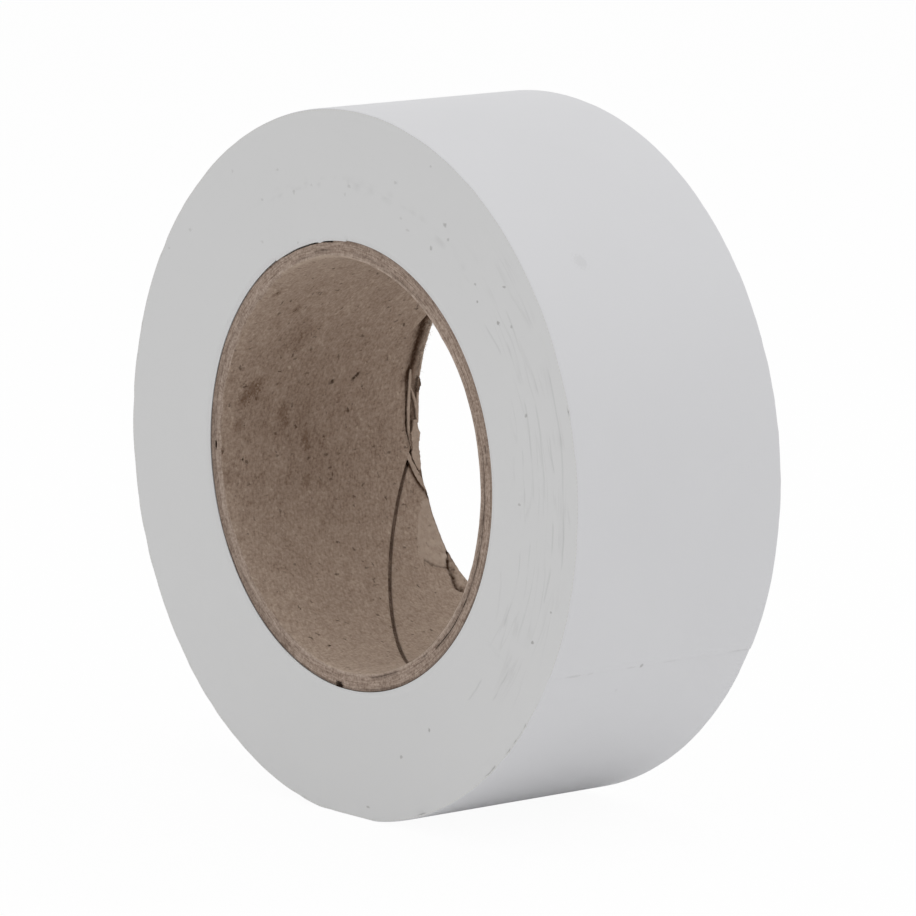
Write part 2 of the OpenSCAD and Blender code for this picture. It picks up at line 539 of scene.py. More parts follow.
@dataclass(frozen=True)
class CoreBoard:
    """Grey-brown recycled core board: matt and mottled, full of short fibres, with dark flecks and stains.

    Each of fibres is a direction and a weight. Each of tints is an attribute of the points with the
    strength of its colour on the darkest and on the palest grain.
    """

    name: str = "recycled core board"
    dark: str = "#685040"
    light: str = "#cfbcab"
    fleck: str = "#3d2d22"
    # Brown of the real stains, which also warms the painted shade at the torn far rim
    stain_and_shade: str = "#5a3d26"
    straw: str = "#c3b19f"
    torn: str = "#c2b1a2"
    # Dark brown that paints shade into splits, slits, the seam, the chip, cracks and the recesses behind
    # torn edges, and darkens a few worn places
    shade_and_darkening: str = "#3a2514"
    cut: str = "#cbb9a8"
    fibre_length: float = 1.6
    fibre_width: float = 0.36
    fibres: tuple[tuple[float, float], ...] = ((12.0, 0.8), (71.0, 0.35), (133.0, 0.45))
    speckle: float = 0.6
    mottle: float = 2.6
    cloud: float = 19.0
    tones: tuple[float, float] = (1.25, 3.7)
    grains: tuple[float, float] = (1.2, 2.4)
    tints: tuple[tuple[str, float, float], ...] = (
        ("cut", 1.9, 0.0),
        ("torn", 1.7, 0.3),
        ("stain_and_shade", 1.2, 0.7),
        ("shade_and_darkening", 1.3, 0.7),
    )
    fleck_spacing: float = 2.1
    fleck_size: float = 0.34
    fleck_stretch: float = 1.8
    fleck_turns: tuple[float, ...] = (40.0, 125.0)
    straw_turn: float = 82.0
    relief: float = 0.06
    roughness: float = 0.92
    gloss: float = 0.2

    def material(self, flecks: tuple[Spot, ...], stains: tuple[Spot, ...]) -> Material:
        """Build the material.

        Args:
            flecks: Dark flecks at known places.
            stains: Brown stains at known places.

        Returns:
            The material: fibres lie in three directions, dark flecks and pale straws are a few cells of
            stretched Voronoi patterns, the attribute pale paints light and shade onto the bore wall, and
            those in tints tint it, partly with painted shade.
        """
        material, tree, shader = new_material(self.name)
        coords = add(tree, "TexCoord").outputs
        uv = coords["UV"]
        speckle, mottle, cloud = (
            noise(coords["Object"], size * MM, 3.0, 0.6) for size in (self.speckle, self.mottle, self.cloud)
        )
        fibres = [
            (noise(laid(uv, turn, self.fibre_length, self.fibre_width), 1.0, 1.0), weight)
            for turn, weight in self.fibres
        ]
        grain = weighted([*fibres, (speckle, 2.0)])
        tone = weighted([(grain, 1.0), (mottle, 0.95), (cloud, 0.4), (mark(tree, "pale"), 1.0)])
        color = mix(ramp(tone, *self.tones), linear(self.dark), linear(self.light))
        strewn = [(self._flecks(uv, speckle, turn), 1.0) for turn in self.fleck_turns]
        color = mix(weighted([*strewn, (spot_mask(uv, flecks), 1.0)]), color, linear(self.fleck))
        color = mix(spot_mask(uv, stains), color, linear(self.stain_and_shade))
        color = mix(self._flecks(uv, speckle, self.straw_turn), color, linear(self.straw))
        # These attributes carry painted shade besides the real cut, torn and stained paper
        for name, on_dark, on_pale in self.tints:
            strength = ramp(grain, *self.grains, on_dark, on_pale)
            share = calc("MULTIPLY", mark(tree, name), strength, clamp=True)
            color = mix(share, color, linear(getattr(self, name)))
        look = {"Base Color": color, "Normal": bump(grain, 0.6, self.relief)}
        connect(shader, {**look, "Roughness": self.roughness, "Specular IOR Level": self.gloss})
        return material

    def _flecks(self, uv: Socket, speckle: Socket, turn: float) -> Socket:
        """Strewn flecks, longer than wide.

        Args:
            uv: The UV map's output.
            speckle: Noise whose colour frays them.
            turn: Direction in which they lie, in degrees from the strip's own.

        Returns:
            Output that is up to 1 in a fleck.
        """
        tree = uv.id_data
        strewn = laid(uv, turn, self.fleck_spacing * self.fleck_stretch, self.fleck_spacing)
        bend = {0: speckle.node.outputs[1], 1: (0.5, 0.5, 0.0), 2: strewn}
        bent = add(tree, "VectorMath", bend, operation="MULTIPLY_ADD").outputs[0]
        cells = add(tree, "TexVoronoi", {"Vector": bent, "Scale": 1.0}, voronoi_dimensions="2D").outputs
        pick = add(tree, "SeparateColor", {0: cells["Color"]}).outputs
        size = self.fleck_size / self.fleck_spacing
        near = calc("SUBTRACT", ramp(pick[1], 0.0, 1.0, size * 0.3, size), cells["Distance"])
        return calc("MULTIPLY", ramp(near, 0.0, size * 0.5), ramp(pick[0], 0.42, 0.95, 0.0, 0.7))


@dataclass(frozen=True)
class SlicedBoard:
    """Sliced end of the core: matt brown, its layers drawn out along the rim."""

    name: str = "sliced core board"
    dark: str = "#816e61"
    light: str = "#bca99b"
    cut: str = "#d3c2b4"
    # Dark brown that paints shade into the splits and at the cut and torn edges
    shade_and_darkening: str = "#2c1e16"
    layer: float = 0.26
    streak: float = 0.1
    speckle: float = 0.45
    relief: float = 0.06
    roughness: float = 0.95
    gloss: float = 0.15

    def material(self) -> Material:
        """Build the material.

        Returns:
            The material: noise over the radius and, much slower, the way around the rim draws the layers;
            the attribute cut tints the rubbed edges, and the dark attribute paints shade into the splits
            between the plies, the slit, the chip and the torn edges and darkens a few worn places.
        """
        material, tree, shader = new_material(self.name)
        coords = add(tree, "TexCoord").outputs["Object"]
        layers = ring_noise(coords, self.layer, self.streak)
        grain = weighted([(layers, 0.8), (noise(coords, self.speckle * MM, 2.0), 0.9)])
        color = mix(ramp(grain, 0.6, 1.1), linear(self.dark), linear(self.light))
        for name in ("cut", "shade_and_darkening"):
            color = mix(mark(tree, name), color, linear(getattr(self, name)))
        look = {"Base Color": color, "Normal": bump(grain, 0.6, self.relief)}
        connect(shader, {**look, "Roughness": self.roughness, "Specular IOR Level": self.gloss})
        return material


@dataclass(frozen=True)
class SlitEdge:
    """Slit edge of the wound white tape: matt and even, with fine creases where the turns have shifted."""

    name: str = "slit white tape edge"
    base: str = "#dadada"
    shade: str = "#d8d8d8"
    # Grey of the painted shade in the creases
    crease: str = "#9b9a99"
    dust: str = "#8a8683"
    patch: float = 14.0
    crease_spacing: float = 2.4
    crease_turn: float = 26.0 / 56.0
    crease_width: float = 0.035
    crease_strength: float = 0.12
    come_and_go: float = 7.0
    relief: float = 0.06
    roughness: float = 0.6

    def material(self, spots: tuple[Spot, ...]) -> Material:
        """Build the material.

        Args:
            spots: Specks at known places.

        Returns:
            The material: slow clouds of tone; the attribute crease paints shade into the modelled creases
                and
            into the gap beside each knock in the rim, and finer creases of painted shade show as far as the
            attribute worn says.
        """
        material, tree, shader = new_material(self.name)
        coords = add(tree, "TexCoord").outputs["Object"]
        color = mix(noise(coords, self.patch * MM, 3.0), linear(self.base), linear(self.shade))
        fine = self._fine_creases(coords)
        creases = calc("MULTIPLY_ADD", fine, self.crease_strength, mark(tree, "crease"), clamp=True)
        color = mix(creases, color, linear(self.crease))
        color = mix(spot_mask(coords, spots), color, linear(self.dust))
        look = {"Base Color": color, "Normal": bump(fine, 0.3, self.relief, invert=True)}
        connect(shader, {**look, "Roughness": self.roughness})
        return material

    def _fine_creases(self, coords: Socket) -> Socket:
        """Thin wavering lines of painted shade around the roll that come and go: the middle contours of a
        drawn-out noise.

        Args:
            coords: Output of the object coordinates.

        Returns:
            Output that is 1 in a crease and 0 elsewhere.
        """
        waver = ring_noise(coords, self.crease_spacing, self.crease_turn, 0.4)
        off_middle = calc("ABSOLUTE", calc("SUBTRACT", waver, 0.5))
        line = ramp(off_middle, 0.0, self.crease_width, 1.0, 0.0)
        shown = ramp(noise(coords, self.come_and_go * MM, 1.0), 0.42, 0.62)
        return calc("MULTIPLY", calc("MULTIPLY", line, shown), mark(coords.id_data, "worn"))


@dataclass(frozen=True)
class SmoothFilm:
    """White polyethylene film: satin, almost smooth, with the cloth below it just felt."""

    name: str = "white polyethylene film"
    base: str = "#dcdcde"
    shade: str = "#d8d8da"
    # Grey of the smear, the specks and the painted shadow under the tail's cut end
    smudge_and_shadow: str = "#8f8d8b"
    cloud: float = 22.0
    thread: float = 0.8
    relief: float = 0.02
    roughness: float = 0.5
    ior: float = 1.5
    gloss: float = 0.12

    def material(self, spots: tuple[Spot, ...]) -> Material:
        """Build the material.

        Args:
            spots: Smears and specks at known places, and painted shadow under the tail's cut end.

        Returns:
            The material: slow clouds of tone, a few marks, some of them painted shadow, and two sets of
                faint ridges a thread apart.
        """
        material, tree, shader = new_material(self.name)
        coords = add(tree, "TexCoord").outputs
        color = mix(noise(coords["Object"], self.cloud * MM, 4.0), linear(self.base), linear(self.shade))
        color = mix(spot_mask(coords["UV"], spots), color, linear(self.smudge_and_shadow))
        ridges = weave(coords["UV"], self.thread, 0.6, "ADD")
        look = {"Base Color": color, "Normal": bump(ridges, 0.05, self.relief)}
        finish = {"Roughness": self.roughness, "IOR": self.ior, "Specular IOR Level": self.gloss}
        connect(shader, {**look, **finish})
        return material


@dataclass(frozen=True)
class Gauze:
    """Cloth of the tape: bare at the cut ends, or pressed into the pale rubber adhesive that shows it."""

    name: str
    yarn: str
    gap: str
    roughness: float
    relief: float
    thread: float = 0.8
    lump: float = 0.9

    def material(self) -> Material:
        """Build the material.

        Returns:
            The material: the threads of both directions over the gaps between them, and fine lumps.
        """
        material, tree, shader = new_material(self.name)
        coords = add(tree, "TexCoord").outputs
        threads = weave(coords["UV"], self.thread, 0.9, "MAXIMUM")
        color = mix(threads, linear(self.gap), linear(self.yarn))
        height = calc("ADD", threads, noise(coords["Object"], self.lump * MM, 3.0))
        look = {"Base Color": color, "Normal": bump(height, 0.7, self.relief)}
        connect(shader, {**look, "Roughness": self.roughness})
        return material


# The roll


@dataclass(frozen=True)
class RollSizes:
    """The roll's sizes in millimetres and angles in degrees, as in the part's source.

    Those from edge_drop on are wear: the rounded and frayed edges of the tape, how far the adhesive sinks
    into the turn below, the bridge in the gap beside the first turn, and the knocks in the near rim.
    """

    bore_r: float
    core_half: float
    half: float
    ply_t: float = 0.61
    plies: int = 6
    seam_pitch: float = 141.0
    first_seam_deg: float = 244.5
    seam_step_deg: float = 64.5
    inner_seam_w: float = 0.75
    hidden_seam_w: float = 0.4
    film_t: float = 0.1
    scrim_t: float = 0.07
    adhesive_t: float = 0.08
    core_clearance: float = 0.02
    lay_clearance: float = 0.05
    roll_r: float = 66.0
    flat_depth: float = 0.5
    lead_end_deg: float = 90.0
    lead_gap_deg: float = 31.0
    tail_end_deg: float = -28.25
    tail_link_l: float = 12.6
    tail_lap_l: float = 5.8
    edge_drop: float = 0.12
    edge_drop_w: float = 0.7
    edge_fray: float = 0.16
    fray_cell: float = 3.0
    adhesive_sink: float = 0.015
    bridge_deg: float = 101.2
    bridge_w: float = 0.9
    knocks: Humps = (
        (-38.5, 0.5, 0.3), (-40.0, 0.7, 0.25), (-41.9, 0.9, 0.35), (-44.7, 0.7, 0.4),
        (-49.5, 0.7, 0.3), (-51.2, 0.9, 0.4), (-70.6, 1.0, 0.45), (15.8, 0.6, 0.25),
    )

    @classmethod
    def of_frame(cls) -> "RollSizes":
        """Sizes with the bore, the core's length and the tape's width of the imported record.

        Returns:
            The sizes.
        """
        mounts = {m["name"]: m for m in frame["record"]["mounts"]}
        bore = mounts["core_bore"]["dims"]
        half = mounts["far_side"]["pos_m"][1] / MM
        return cls(bore_r=bore["r_mm"], core_half=bore["length_mm"] / 2, half=half)

    @property
    def core_r(self) -> float:
        """Outside radius of the core."""
        return self.bore_r + self.plies * self.ply_t

    @property
    def tape_t(self) -> float:
        """Thickness of the tape."""
        return self.film_t + self.scrim_t + self.adhesive_t

    @property
    def first_r(self) -> float:
        """Outside radius of the first turn."""
        return self.core_r + self.core_clearance + self.tape_t

    @property
    def rim_s(self) -> float:
        """Distance of the rim from the turn under the outer one."""
        return self.lay_clearance + self.tape_t

    @property
    def pack_r(self) -> float:
        """Largest radius of the turn under the outer one."""
        return self.roll_r - self.rim_s

    @property
    def link_deg(self) -> float:
        """Arc of one length of the tail."""
        return float(np.degrees(self.tail_link_l / self.roll_r))

    @property
    def lap_deg(self) -> float:
        """Arc between the step and the tail's cut end."""
        return float(np.degrees(self.tail_lap_l / self.roll_r))

    @property
    def step_deg(self) -> float:
        """Angle at which the outer turn comes out of the roll."""
        return self.tail_end_deg - self.lap_deg

    @property
    def tail_start_deg(self) -> float:
        """Angle at which the tail starts."""
        return self.tail_end_deg + 3 * self.link_deg

    @property
    def floor_z(self) -> float:
        """Height of the floor under the bore's centre."""
        return -(self.roll_r - self.tape_t * (270.0 - self.step_deg) / 360.0 - self.flat_depth)

    def layer_s(self, layer: Layer) -> tuple[float, float]:
        """Inner and outer distance of a tape layer from the turn that it lies on.

        Args:
            layer: The layer.

        Returns:
            The two distances. The adhesive reaches down to the turn below, where it sticks.
        """
        scrim = self.lay_clearance + self.adhesive_t
        film = scrim + self.scrim_t
        spans = {
            Layer.ADHESIVE: (-self.adhesive_sink, scrim),
            Layer.SCRIM: (scrim, film),
            Layer.FILM: (film, self.rim_s),
        }
        return spans[layer]

    def winding_r(self, angle: np.ndarray, s: float | np.ndarray) -> np.ndarray:
        """Radius of the winding's outline, s outside the turn under the outer one.

        Each half turn is a half circle; their centres lie a quarter of the tape's thickness on either
        side of the axis, along the step. Where the roll stands, the floor cuts the outline flat.

        Args:
            angle: Angles in degrees, from the step on.
            s: Distance outside the turn under the outer one.

        Returns:
            Radii from the roll's axis.
        """
        turn = np.clip(np.where(angle < self.step_deg, angle + 360.0, angle) - self.step_deg, 0.0, 360.0)
        first = turn < 180.0
        offset = self.tape_t / 4
        centre = offset * np.cos(np.radians(turn)) * np.where(first, 1.0, -1.0)
        radius = self.pack_r - self.tape_t * np.where(first, 0.25, 0.75) + s
        r = centre + np.sqrt(centre**2 - offset**2 + radius**2)
        down = np.maximum(-np.sin(np.radians(angle)), 1e-6)
        return np.minimum(r, (-self.floor_z - self.rim_s + s) / down)

    def drop(self, y: np.ndarray) -> np.ndarray:
        """How far the tape falls towards its slit edges: edge_drop times the cube of the share passed."""
        t = np.clip((np.abs(y) - (self.half - self.edge_drop_w)) / self.edge_drop_w, 0.0, 1.0)
        return self.edge_drop * t**3

    def seam_deg(self, ply: int, y: np.ndarray | float) -> np.ndarray | float:
        """Angle of a ply's seam at places along the axis: a screw line that turns once in a pitch."""
        return self.first_seam_deg + (ply - 1) * self.seam_step_deg - 360.0 / self.seam_pitch * y

    def seam_lift(self, r: float) -> float:
        """Angle in radians by which a seam at radius r leans from the way around to the axis."""
        return np.arctan(self.seam_pitch / (2 * np.pi * r))

    def nick(self, angle: np.ndarray) -> np.ndarray:
        """Depth inwards along the axis of the knocks in the near rim: a bell curve each."""
        return bells(half_turn(angle), self.knocks)

    def fray(self, angle: np.ndarray, side: float) -> np.ndarray:
        """Depth by which the tape's edge wavers.

        Args:
            angle: Angles in degrees.
            side: The side face, -1 or 1.

        Returns:
            Depth inwards along the axis: noise around the rim that closes on itself.
        """
        turn = np.radians(angle)
        apart = 200.0 * side
        x, z = self.roll_r * np.cos(turn), self.roll_r * np.sin(turn)
        waver = rough(x, z + apart, self.fray_cell, 89, 2)
        return self.edge_fray * np.clip(waver + 0.3, 0.0, 1.0)


@dataclass(frozen=True)
class Arc:
    """Stretch of the rim in degrees, and the width over which it fades at both ends."""

    low: float
    high: float
    soft: float

    def at(self, angle: np.ndarray) -> np.ndarray:
        """1 inside the stretch, falling to 0 beyond both ends."""
        return window(angle, self.low, self.high, self.soft)


@dataclass(frozen=True)
class Shred:
    """Torn strip of paper on the far rim: a width, and a bent path of (angle, y, depth behind the wall)."""

    width: float
    path: tuple[tuple[float, float, float], ...]
    pale: float = 0.3
    # Share of painted shade on the strip
    shade_and_darkening: float = 0.0


@dataclass
class PlyPoints:
    """Points of one ply as grids: where they lie, how far its two faces stand out, and their marks.

    Each mark is a pair of grids, for the face towards the bore and for the back.
    """

    ply: int
    angle: np.ndarray
    arc: np.ndarray
    y: np.ndarray
    from_near: np.ndarray
    from_far: np.ndarray
    wall: np.ndarray
    back: np.ndarray
    marks: dict[str, np.ndarray]


@dataclass
class PaperCore:
    """The spiral-wound core: six plies of board, the innermost torn open at the far rim.

    Lines on the bore wall are corners of (angle, y), marks on it are (angle, y, half length, depth), and
    humps are (angle, width, height). The steps of a ply's mesh are degrees beside the seam and away from
    it, then shares of a column in its middle, before the tear and beyond tear_from, where the tear starts.
    The depths of the slit and of the chip are taken from the inner ply's back and the outer ply's wall.
    """

    sizes: RollSizes
    finish: CoreBoard
    ends: SlicedBoard
    slack: float = 0.01
    tear_from: float = 19.4
    tear_share: float = 0.86
    coarse_turn: tuple[float, float] = (50.0, 315.0)
    inner_steps: tuple[float, ...] = (0.3, 1.0, 0.024, 0.005, 0.0048)
    other_steps: tuple[float, ...] = (0.5, 0.6, 0.12, 0.05, 0.012)
    end_slack: float = 0.03
    mouth_l: float = 6.0
    bevel_l: float = 0.35
    rim_depth: float = 1.4
    slit_depths: tuple[float, float] = (0.14, 0.24)
    chip_depths: tuple[float, float] = (0.2, 0.55)
    gap_depth: float = 0.45
    crack_depth: float = 0.3
    peel_depth: float = 0.08
    lip_rise: float = 0.12
    bent_depth: float = 0.3
    fibre_count: int = 220
    tear: Path = (
        (146.0, 23.5), (148.0, 21.0), (149.1, 20.4), (154.2, 20.9), (163.7, 20.75), (165.5, 20.35),
        (167.6, 20.1), (170.6, 20.0), (174.8, 20.25), (183.6, 20.4), (185.7, 20.8), (187.9, 21.05),
        (189.2, 21.2), (190.2, 20.8), (191.7, 20.2), (195.1, 20.9), (198.4, 21.8), (201.6, 23.25),
        (203.5, 23.45), (226.0, 23.2), (232.0, 23.55),
    )
    second_tear: Path = ((145.8, 23.6), (152.8, 23.5), (157.8, 23.1), (162.8, 23.4), (167.8, 23.6))
    peeled_low: Path = (
        (205.0, 21.5), (208.0, 20.1), (213.0, 18.7), (220.4, 16.4),
        (222.9, 17.0), (224.1, 17.7), (225.3, 18.8), (226.6, 21.1),
    )
    peeled_high: Path = ((205.0, 24.0), (220.7, 23.4), (226.3, 21.2))
    crack: Path = (
        (221.3, 23.0), (224.0, 22.1), (226.7, 21.2), (230.4, 20.9), (232.5, 20.4), (234.3, 20.2),
        (235.3, 20.8),
    )
    clouds: Marks = ((150.0, -10.0, 4.0, 0.4), (188.6, -22.0, 2.2, 0.4), (178.0, -6.0, 14.0, 0.22))
    flecks: Marks = (
        (166.6, 1.7, 0.5, 0.9), (165.1, 7.7, 0.45, 0.9), (166.2, 7.0, 0.45, 0.9), (186.0, -19.0, 0.3, 0.9),
    )
    stains: Marks = (
        (169.4, -19.4, 1.6, 0.28), (166.8, -18.2, 2.0, 0.28), (165.0, -16.8, 1.8, 0.28),
        (164.2, -15.4, 1.2, 0.15), (168.9, -16.5, 1.3, 0.2), (174.2, -9.4, 1.5, 0.4),
        (176.8, -8.5, 1.1, 0.4), (176.1, -19.8, 1.2, 0.35), (130.6, -20.8, 0.9, 0.45),
        (139.0, -13.2, 1.0, 0.4), (182.1, -4.0, 0.9, 0.4), (184.6, -3.6, 0.8, 0.4),
        (194.2, -4.5, 1.2, 0.4),
    )
    shreds: tuple[Shred, ...] = (
        Shred(
            0.65,
            ((166.0, 21.1, 0.4), (169.0, 21.25, 0.3), (173.6, 21.3, 0.2), (184.0, 21.3, 0.2),
             (189.5, 21.8, 0.25)),
        ),
        Shred(
            0.5,
            ((171.5, 21.6, 0.3), (173.2, 22.2, 0.2), (175.9, 22.9, 0.1), (178.0, 23.2, 0.05),
             (182.0, 23.5, 0.05)),
        ),
        Shred(
            0.6, ((149.5, 23.3, 0.35), (154.0, 23.25, 0.3), (160.0, 23.2, 0.3), (168.0, 23.3, 0.2)), pale=0.6
        ),
        Shred(
            0.5,
            ((167.5, 23.3, 0.3), (172.0, 23.35, 0.1), (176.0, 23.4, 0.1), (179.0, 23.45, 0.05),
             (182.0, 23.5, 0.1)),
        ),
        Shred(
            1.9,
            ((181.0, 22.8, 0.0), (184.5, 22.7, -0.2), (187.5, 22.6, -0.1), (191.0, 22.5, 0.15),
             (195.5, 23.0, 0.25)),
        ),
        Shred(
            1.0,
            ((189.6, 20.3, -0.02), (192.2, 20.75, -0.03), (195.4, 21.55, -0.03), (199.0, 22.55, 0.0),
             (202.8, 23.4, 0.2)),
        ),
        # A dark strip that paints shade among the torn strips
        Shred(0.8, ((168.5, 23.2, 0.15), (170.6, 23.35, -0.08), (173.0, 23.3, 0.1)), pale=0.0, shade_and_darkening=0.7),
    )
    splits: tuple[tuple[int, Arc, float], ...] = (
        (1, Arc(-79.0, -69.0, 2.0), 0.13),
        (2, Arc(-48.0, 9.0, 3.0), 0.14),
        (2, Arc(99.0, 103.5, 1.0), 0.1),
        (4, Arc(7.8, 9.8, 0.3), 0.16),
        (4, Arc(10.8, 12.5, 0.3), 0.16),
    )
    flares: Humps = ((198.0, 52.0, 0.95), (115.0, 32.0, 0.5))
    # Painted light and shade on the bore wall: lighter at its bottom and top, darker at its left
    tones: Humps = ((278.0, 42.0, 0.3), (112.0, 30.0, 0.1), (180.0, 36.0, -0.2))
    worn_rim: Arc = Arc(135.0, 240.0, 20.0)
    darker_left_rim: Arc = Arc(165.0, 235.0, 20.0)
    dull_cut: Arc = Arc(125.0, 240.0, 15.0)
    wide_cut: Arc = Arc(102.0, 145.0, 12.0)
    rubbed_cut: Arc = Arc(160.0, 240.0, 15.0)
    slit: Arc = Arc(180.4, 182.1, 0.3)
    chip: Arc = Arc(265.2, 267.2, 0.5)
    tape_gap: Arc = Arc(96.3, 116.5, 1.5)
    left_shadow: Arc = Arc(130.0, 250.0, 40.0)
    right_shadow: Arc = Arc(285.0, 335.0, 12.0)
    loose_third: Arc = Arc(-50.0, 10.0, 6.0)
    frayed_tear: Arc = Arc(147.0, 167.0, 5.0)
    bent_tear: Arc = Arc(146.0, 168.0, 4.0)
    dark_tear: Arc = Arc(194.0, 203.0, 1.5)
    low_tear: Arc = Arc(203.0, 224.0, 2.0)
    peeled: Arc = Arc(205.0, 226.4, 0.8)
    ragged_peel: Arc = Arc(205.0, 219.0, 2.0)
    lifted_lip: Arc = Arc(222.0, 236.0, 2.0)

    def build(self) -> None:
        """Build all plies, the shreds and the loose fibres."""
        board = self.finish.material(self._spots(self.flecks), self._spots(self.stains))
        sliced = self.ends.material()
        names = ("inner", "second", "third", "fourth", "fifth", "outer")
        for number, word in enumerate(names, start=1):
            piece = self._ply(number, f"core_{word}_ply", board)
            piece.data.materials.append(sliced)
            facing(piece, np.array([0.0, 1.0, 0.0]), 0.8)
        self._torn_shreds(board)
        self._loose_fibres(board)

    def _strip_coords(self, r: float, angle: np.ndarray, y: np.ndarray) -> tuple[np.ndarray, np.ndarray]:
        """Coordinates along and across the strip that a ply is wound from.

        Args:
            r: Radius of the ply.
            angle: Angles from 0 to 360.
            y: Places along the axis.

        Returns:
            Both coordinates in millimetres.
        """
        lift = self.sizes.seam_lift(r)
        arc = np.radians(angle) * r
        return arc * np.cos(lift) - y * np.sin(lift), arc * np.sin(lift) + y * np.cos(lift)

    def _spots(self, marks: Marks) -> tuple[Spot, ...]:
        """Marks at known places of the bore wall as spots in the innermost ply's UV map.

        Args:
            marks: The marks.

        Returns:
            The spots, longer along the ply's strip than across it.
        """
        spots = []
        for angle, y, size, depth in marks:
            u, v = self._strip_coords(self.sizes.bore_r, angle, y)
            spots.append(Spot((float(u), float(v), 0.0), (size, size * 0.7, 1.0), depth))
        return tuple(spots)

    def _on_wall(self, path: Path) -> Path:
        """The corners of a line on the bore wall as (place around the wall, y)."""
        return tuple((np.radians(angle) * self.sizes.bore_r, y) for angle, y in path)

    def _far_end(self, ply: int, turn: np.ndarray) -> np.ndarray:
        """Where the columns of a ply end at the far rim.

        Args:
            ply: The ply's number.
            turn: The columns' angles from the ply's seam.

        Returns:
            The first place along each column that passes the tear's ragged edge, or else the core's end.
        """
        s = self.sizes
        end = s.core_half - self.end_slack
        y = np.linspace(19.0, end, 300)
        angle = np.mod(s.seam_deg(ply, y)[None, :] + turn[:, None], 360.0)
        tears = {1: self.tear, 2: self.second_tear}
        line = along(angle, tears[ply], end) if ply in tears else np.full_like(angle, end)
        arc = np.radians(angle) * s.bore_r
        torn = smoothstep(end - line, 0.0, 0.6)
        line = line - 0.04 + (0.04 + 0.16 * torn) * rough(arc, ply * 9.7, 1.3, 40 + ply, 4)
        passed = y >= line
        passed[:, -1] = True
        return y[np.argmax(passed, axis=1)]

    def _ply(self, ply: int, name: str, board: Material) -> Piece:
        """Build one ply: a strip between its seam's edges, carried around the axis along the seam.

        A point of the strip lies at the seam's angle at its y plus a share of the turn, and at the ply's
        radius plus the wall's relief. The seam is pressed shut at the near end.

        Args:
            ply: The ply's number.
            name: Its CAD node.
            board: Its material.

        Returns:
            The piece.
        """
        s = self.sizes
        r_in = s.bore_r + (ply - 1) * s.ply_t
        seam_w = s.inner_seam_w if ply == 1 else s.hidden_seam_w
        gap = np.degrees(seam_w / np.sin(s.seam_lift(r_in)) / r_in)
        beside, away, middle, before, beyond = self.inner_steps if ply == 1 else self.other_steps
        a, b = self.coarse_turn
        turn = graded((gap / 2, a, beside), (a, b, away), (b, 360.0 - gap / 2, beside))
        torn = self.tear_share
        share = graded((0.0, 0.03, 0.003), (0.03, 0.81, middle), (0.81, torn, before), (torn, 1.0, beyond))
        rim = np.radians(turn)
        ragged = rough(4.0 * np.cos(rim), 4.0 * np.sin(rim) + 31.0 * ply, 1.0, 70 + ply)
        near = (0.05 * ragged - s.core_half)[:, None]
        far = self._far_end(ply, turn)[:, None]
        first = np.minimum(share / torn, 1.0)[None, :]
        last = np.maximum((share - torn) / (1.0 - torn), 0.0)[None, :]
        y = near + (self.tear_from - near) * first + (far - self.tear_from) * last
        shut = 0.95 * (1.0 - smoothstep(y - near, 0.4, 3.0))
        opened = 180.0 + (turn[:, None] - 180.0) * (360.0 - gap * (1.0 - shut)) / (360.0 - gap)
        angle = s.seam_deg(ply, y) + opened
        p = self._points(ply, np.mod(angle, 360.0), y, y - near, far - y)
        if ply == 1:
            self._seam_edges(p, np.radians(np.minimum(turn, 360.0 - turn))[:, None] * r_in)
        inner, outer = r_in + self.slack + p.wall, r_in + s.ply_t - self.slack + p.back
        solid = Slab(around(inner, angle, y), around(outer, angle, y))
        piece = make_mesh(name, solid.points(), solid.faces(), 50.0)
        coords = np.stack(self._strip_coords(r_in, p.angle, y), axis=-1).reshape(-1, 2) * MM
        add_uv(piece, np.concatenate([coords, coords + s.ply_t * MM]))
        for key, values in p.marks.items():
            add_mark(piece, key, values.ravel())
        return place(piece, board, Body.ROLL, "paper", name)

    def _points(
        self, ply: int, angle: np.ndarray, y: np.ndarray, from_near: np.ndarray, from_far: np.ndarray
    ) -> PlyPoints:
        """Shape and mark a ply's points.

        Args:
            ply: The ply's number.
            angle: Angles of the points, 0 to 360.
            y: Their places along the axis.
            from_near: Distance from the ply's near end.
            from_far: Distance from the ply's far end.

        Returns:
            The points with the board's grain, the worn mouth, all wear, and painted light and shade.
        """
        arc = np.radians(angle) * self.sizes.bore_r
        grain = 0.015 * rough(arc, y, 0.9, 11 + ply) + 0.03 * rough(arc, y, 9.0, 21 + ply)
        wall = grain + self._flare(ply, angle, from_near)
        back = self._flare(ply + 1, angle, from_near)
        marks = {key: np.zeros((2, *y.shape)) for key in ("cut", "torn", "stain_and_shade", "shade_and_darkening", "pale")}
        p = PlyPoints(ply, angle, arc, y, from_near, from_far, wall, back, marks)
        self._rim_splits(p)
        if ply == 1:
            frayed = rough(arc, y, 1.0, 57)
            self._near_edge(p, frayed)
            self._wall_light_and_stains(p)
            self._peeled_patch(p, frayed)
            self._torn_edge(p)
        self._knocks(p)
        if ply in (2, 3):
            self._bared(p)
        return p

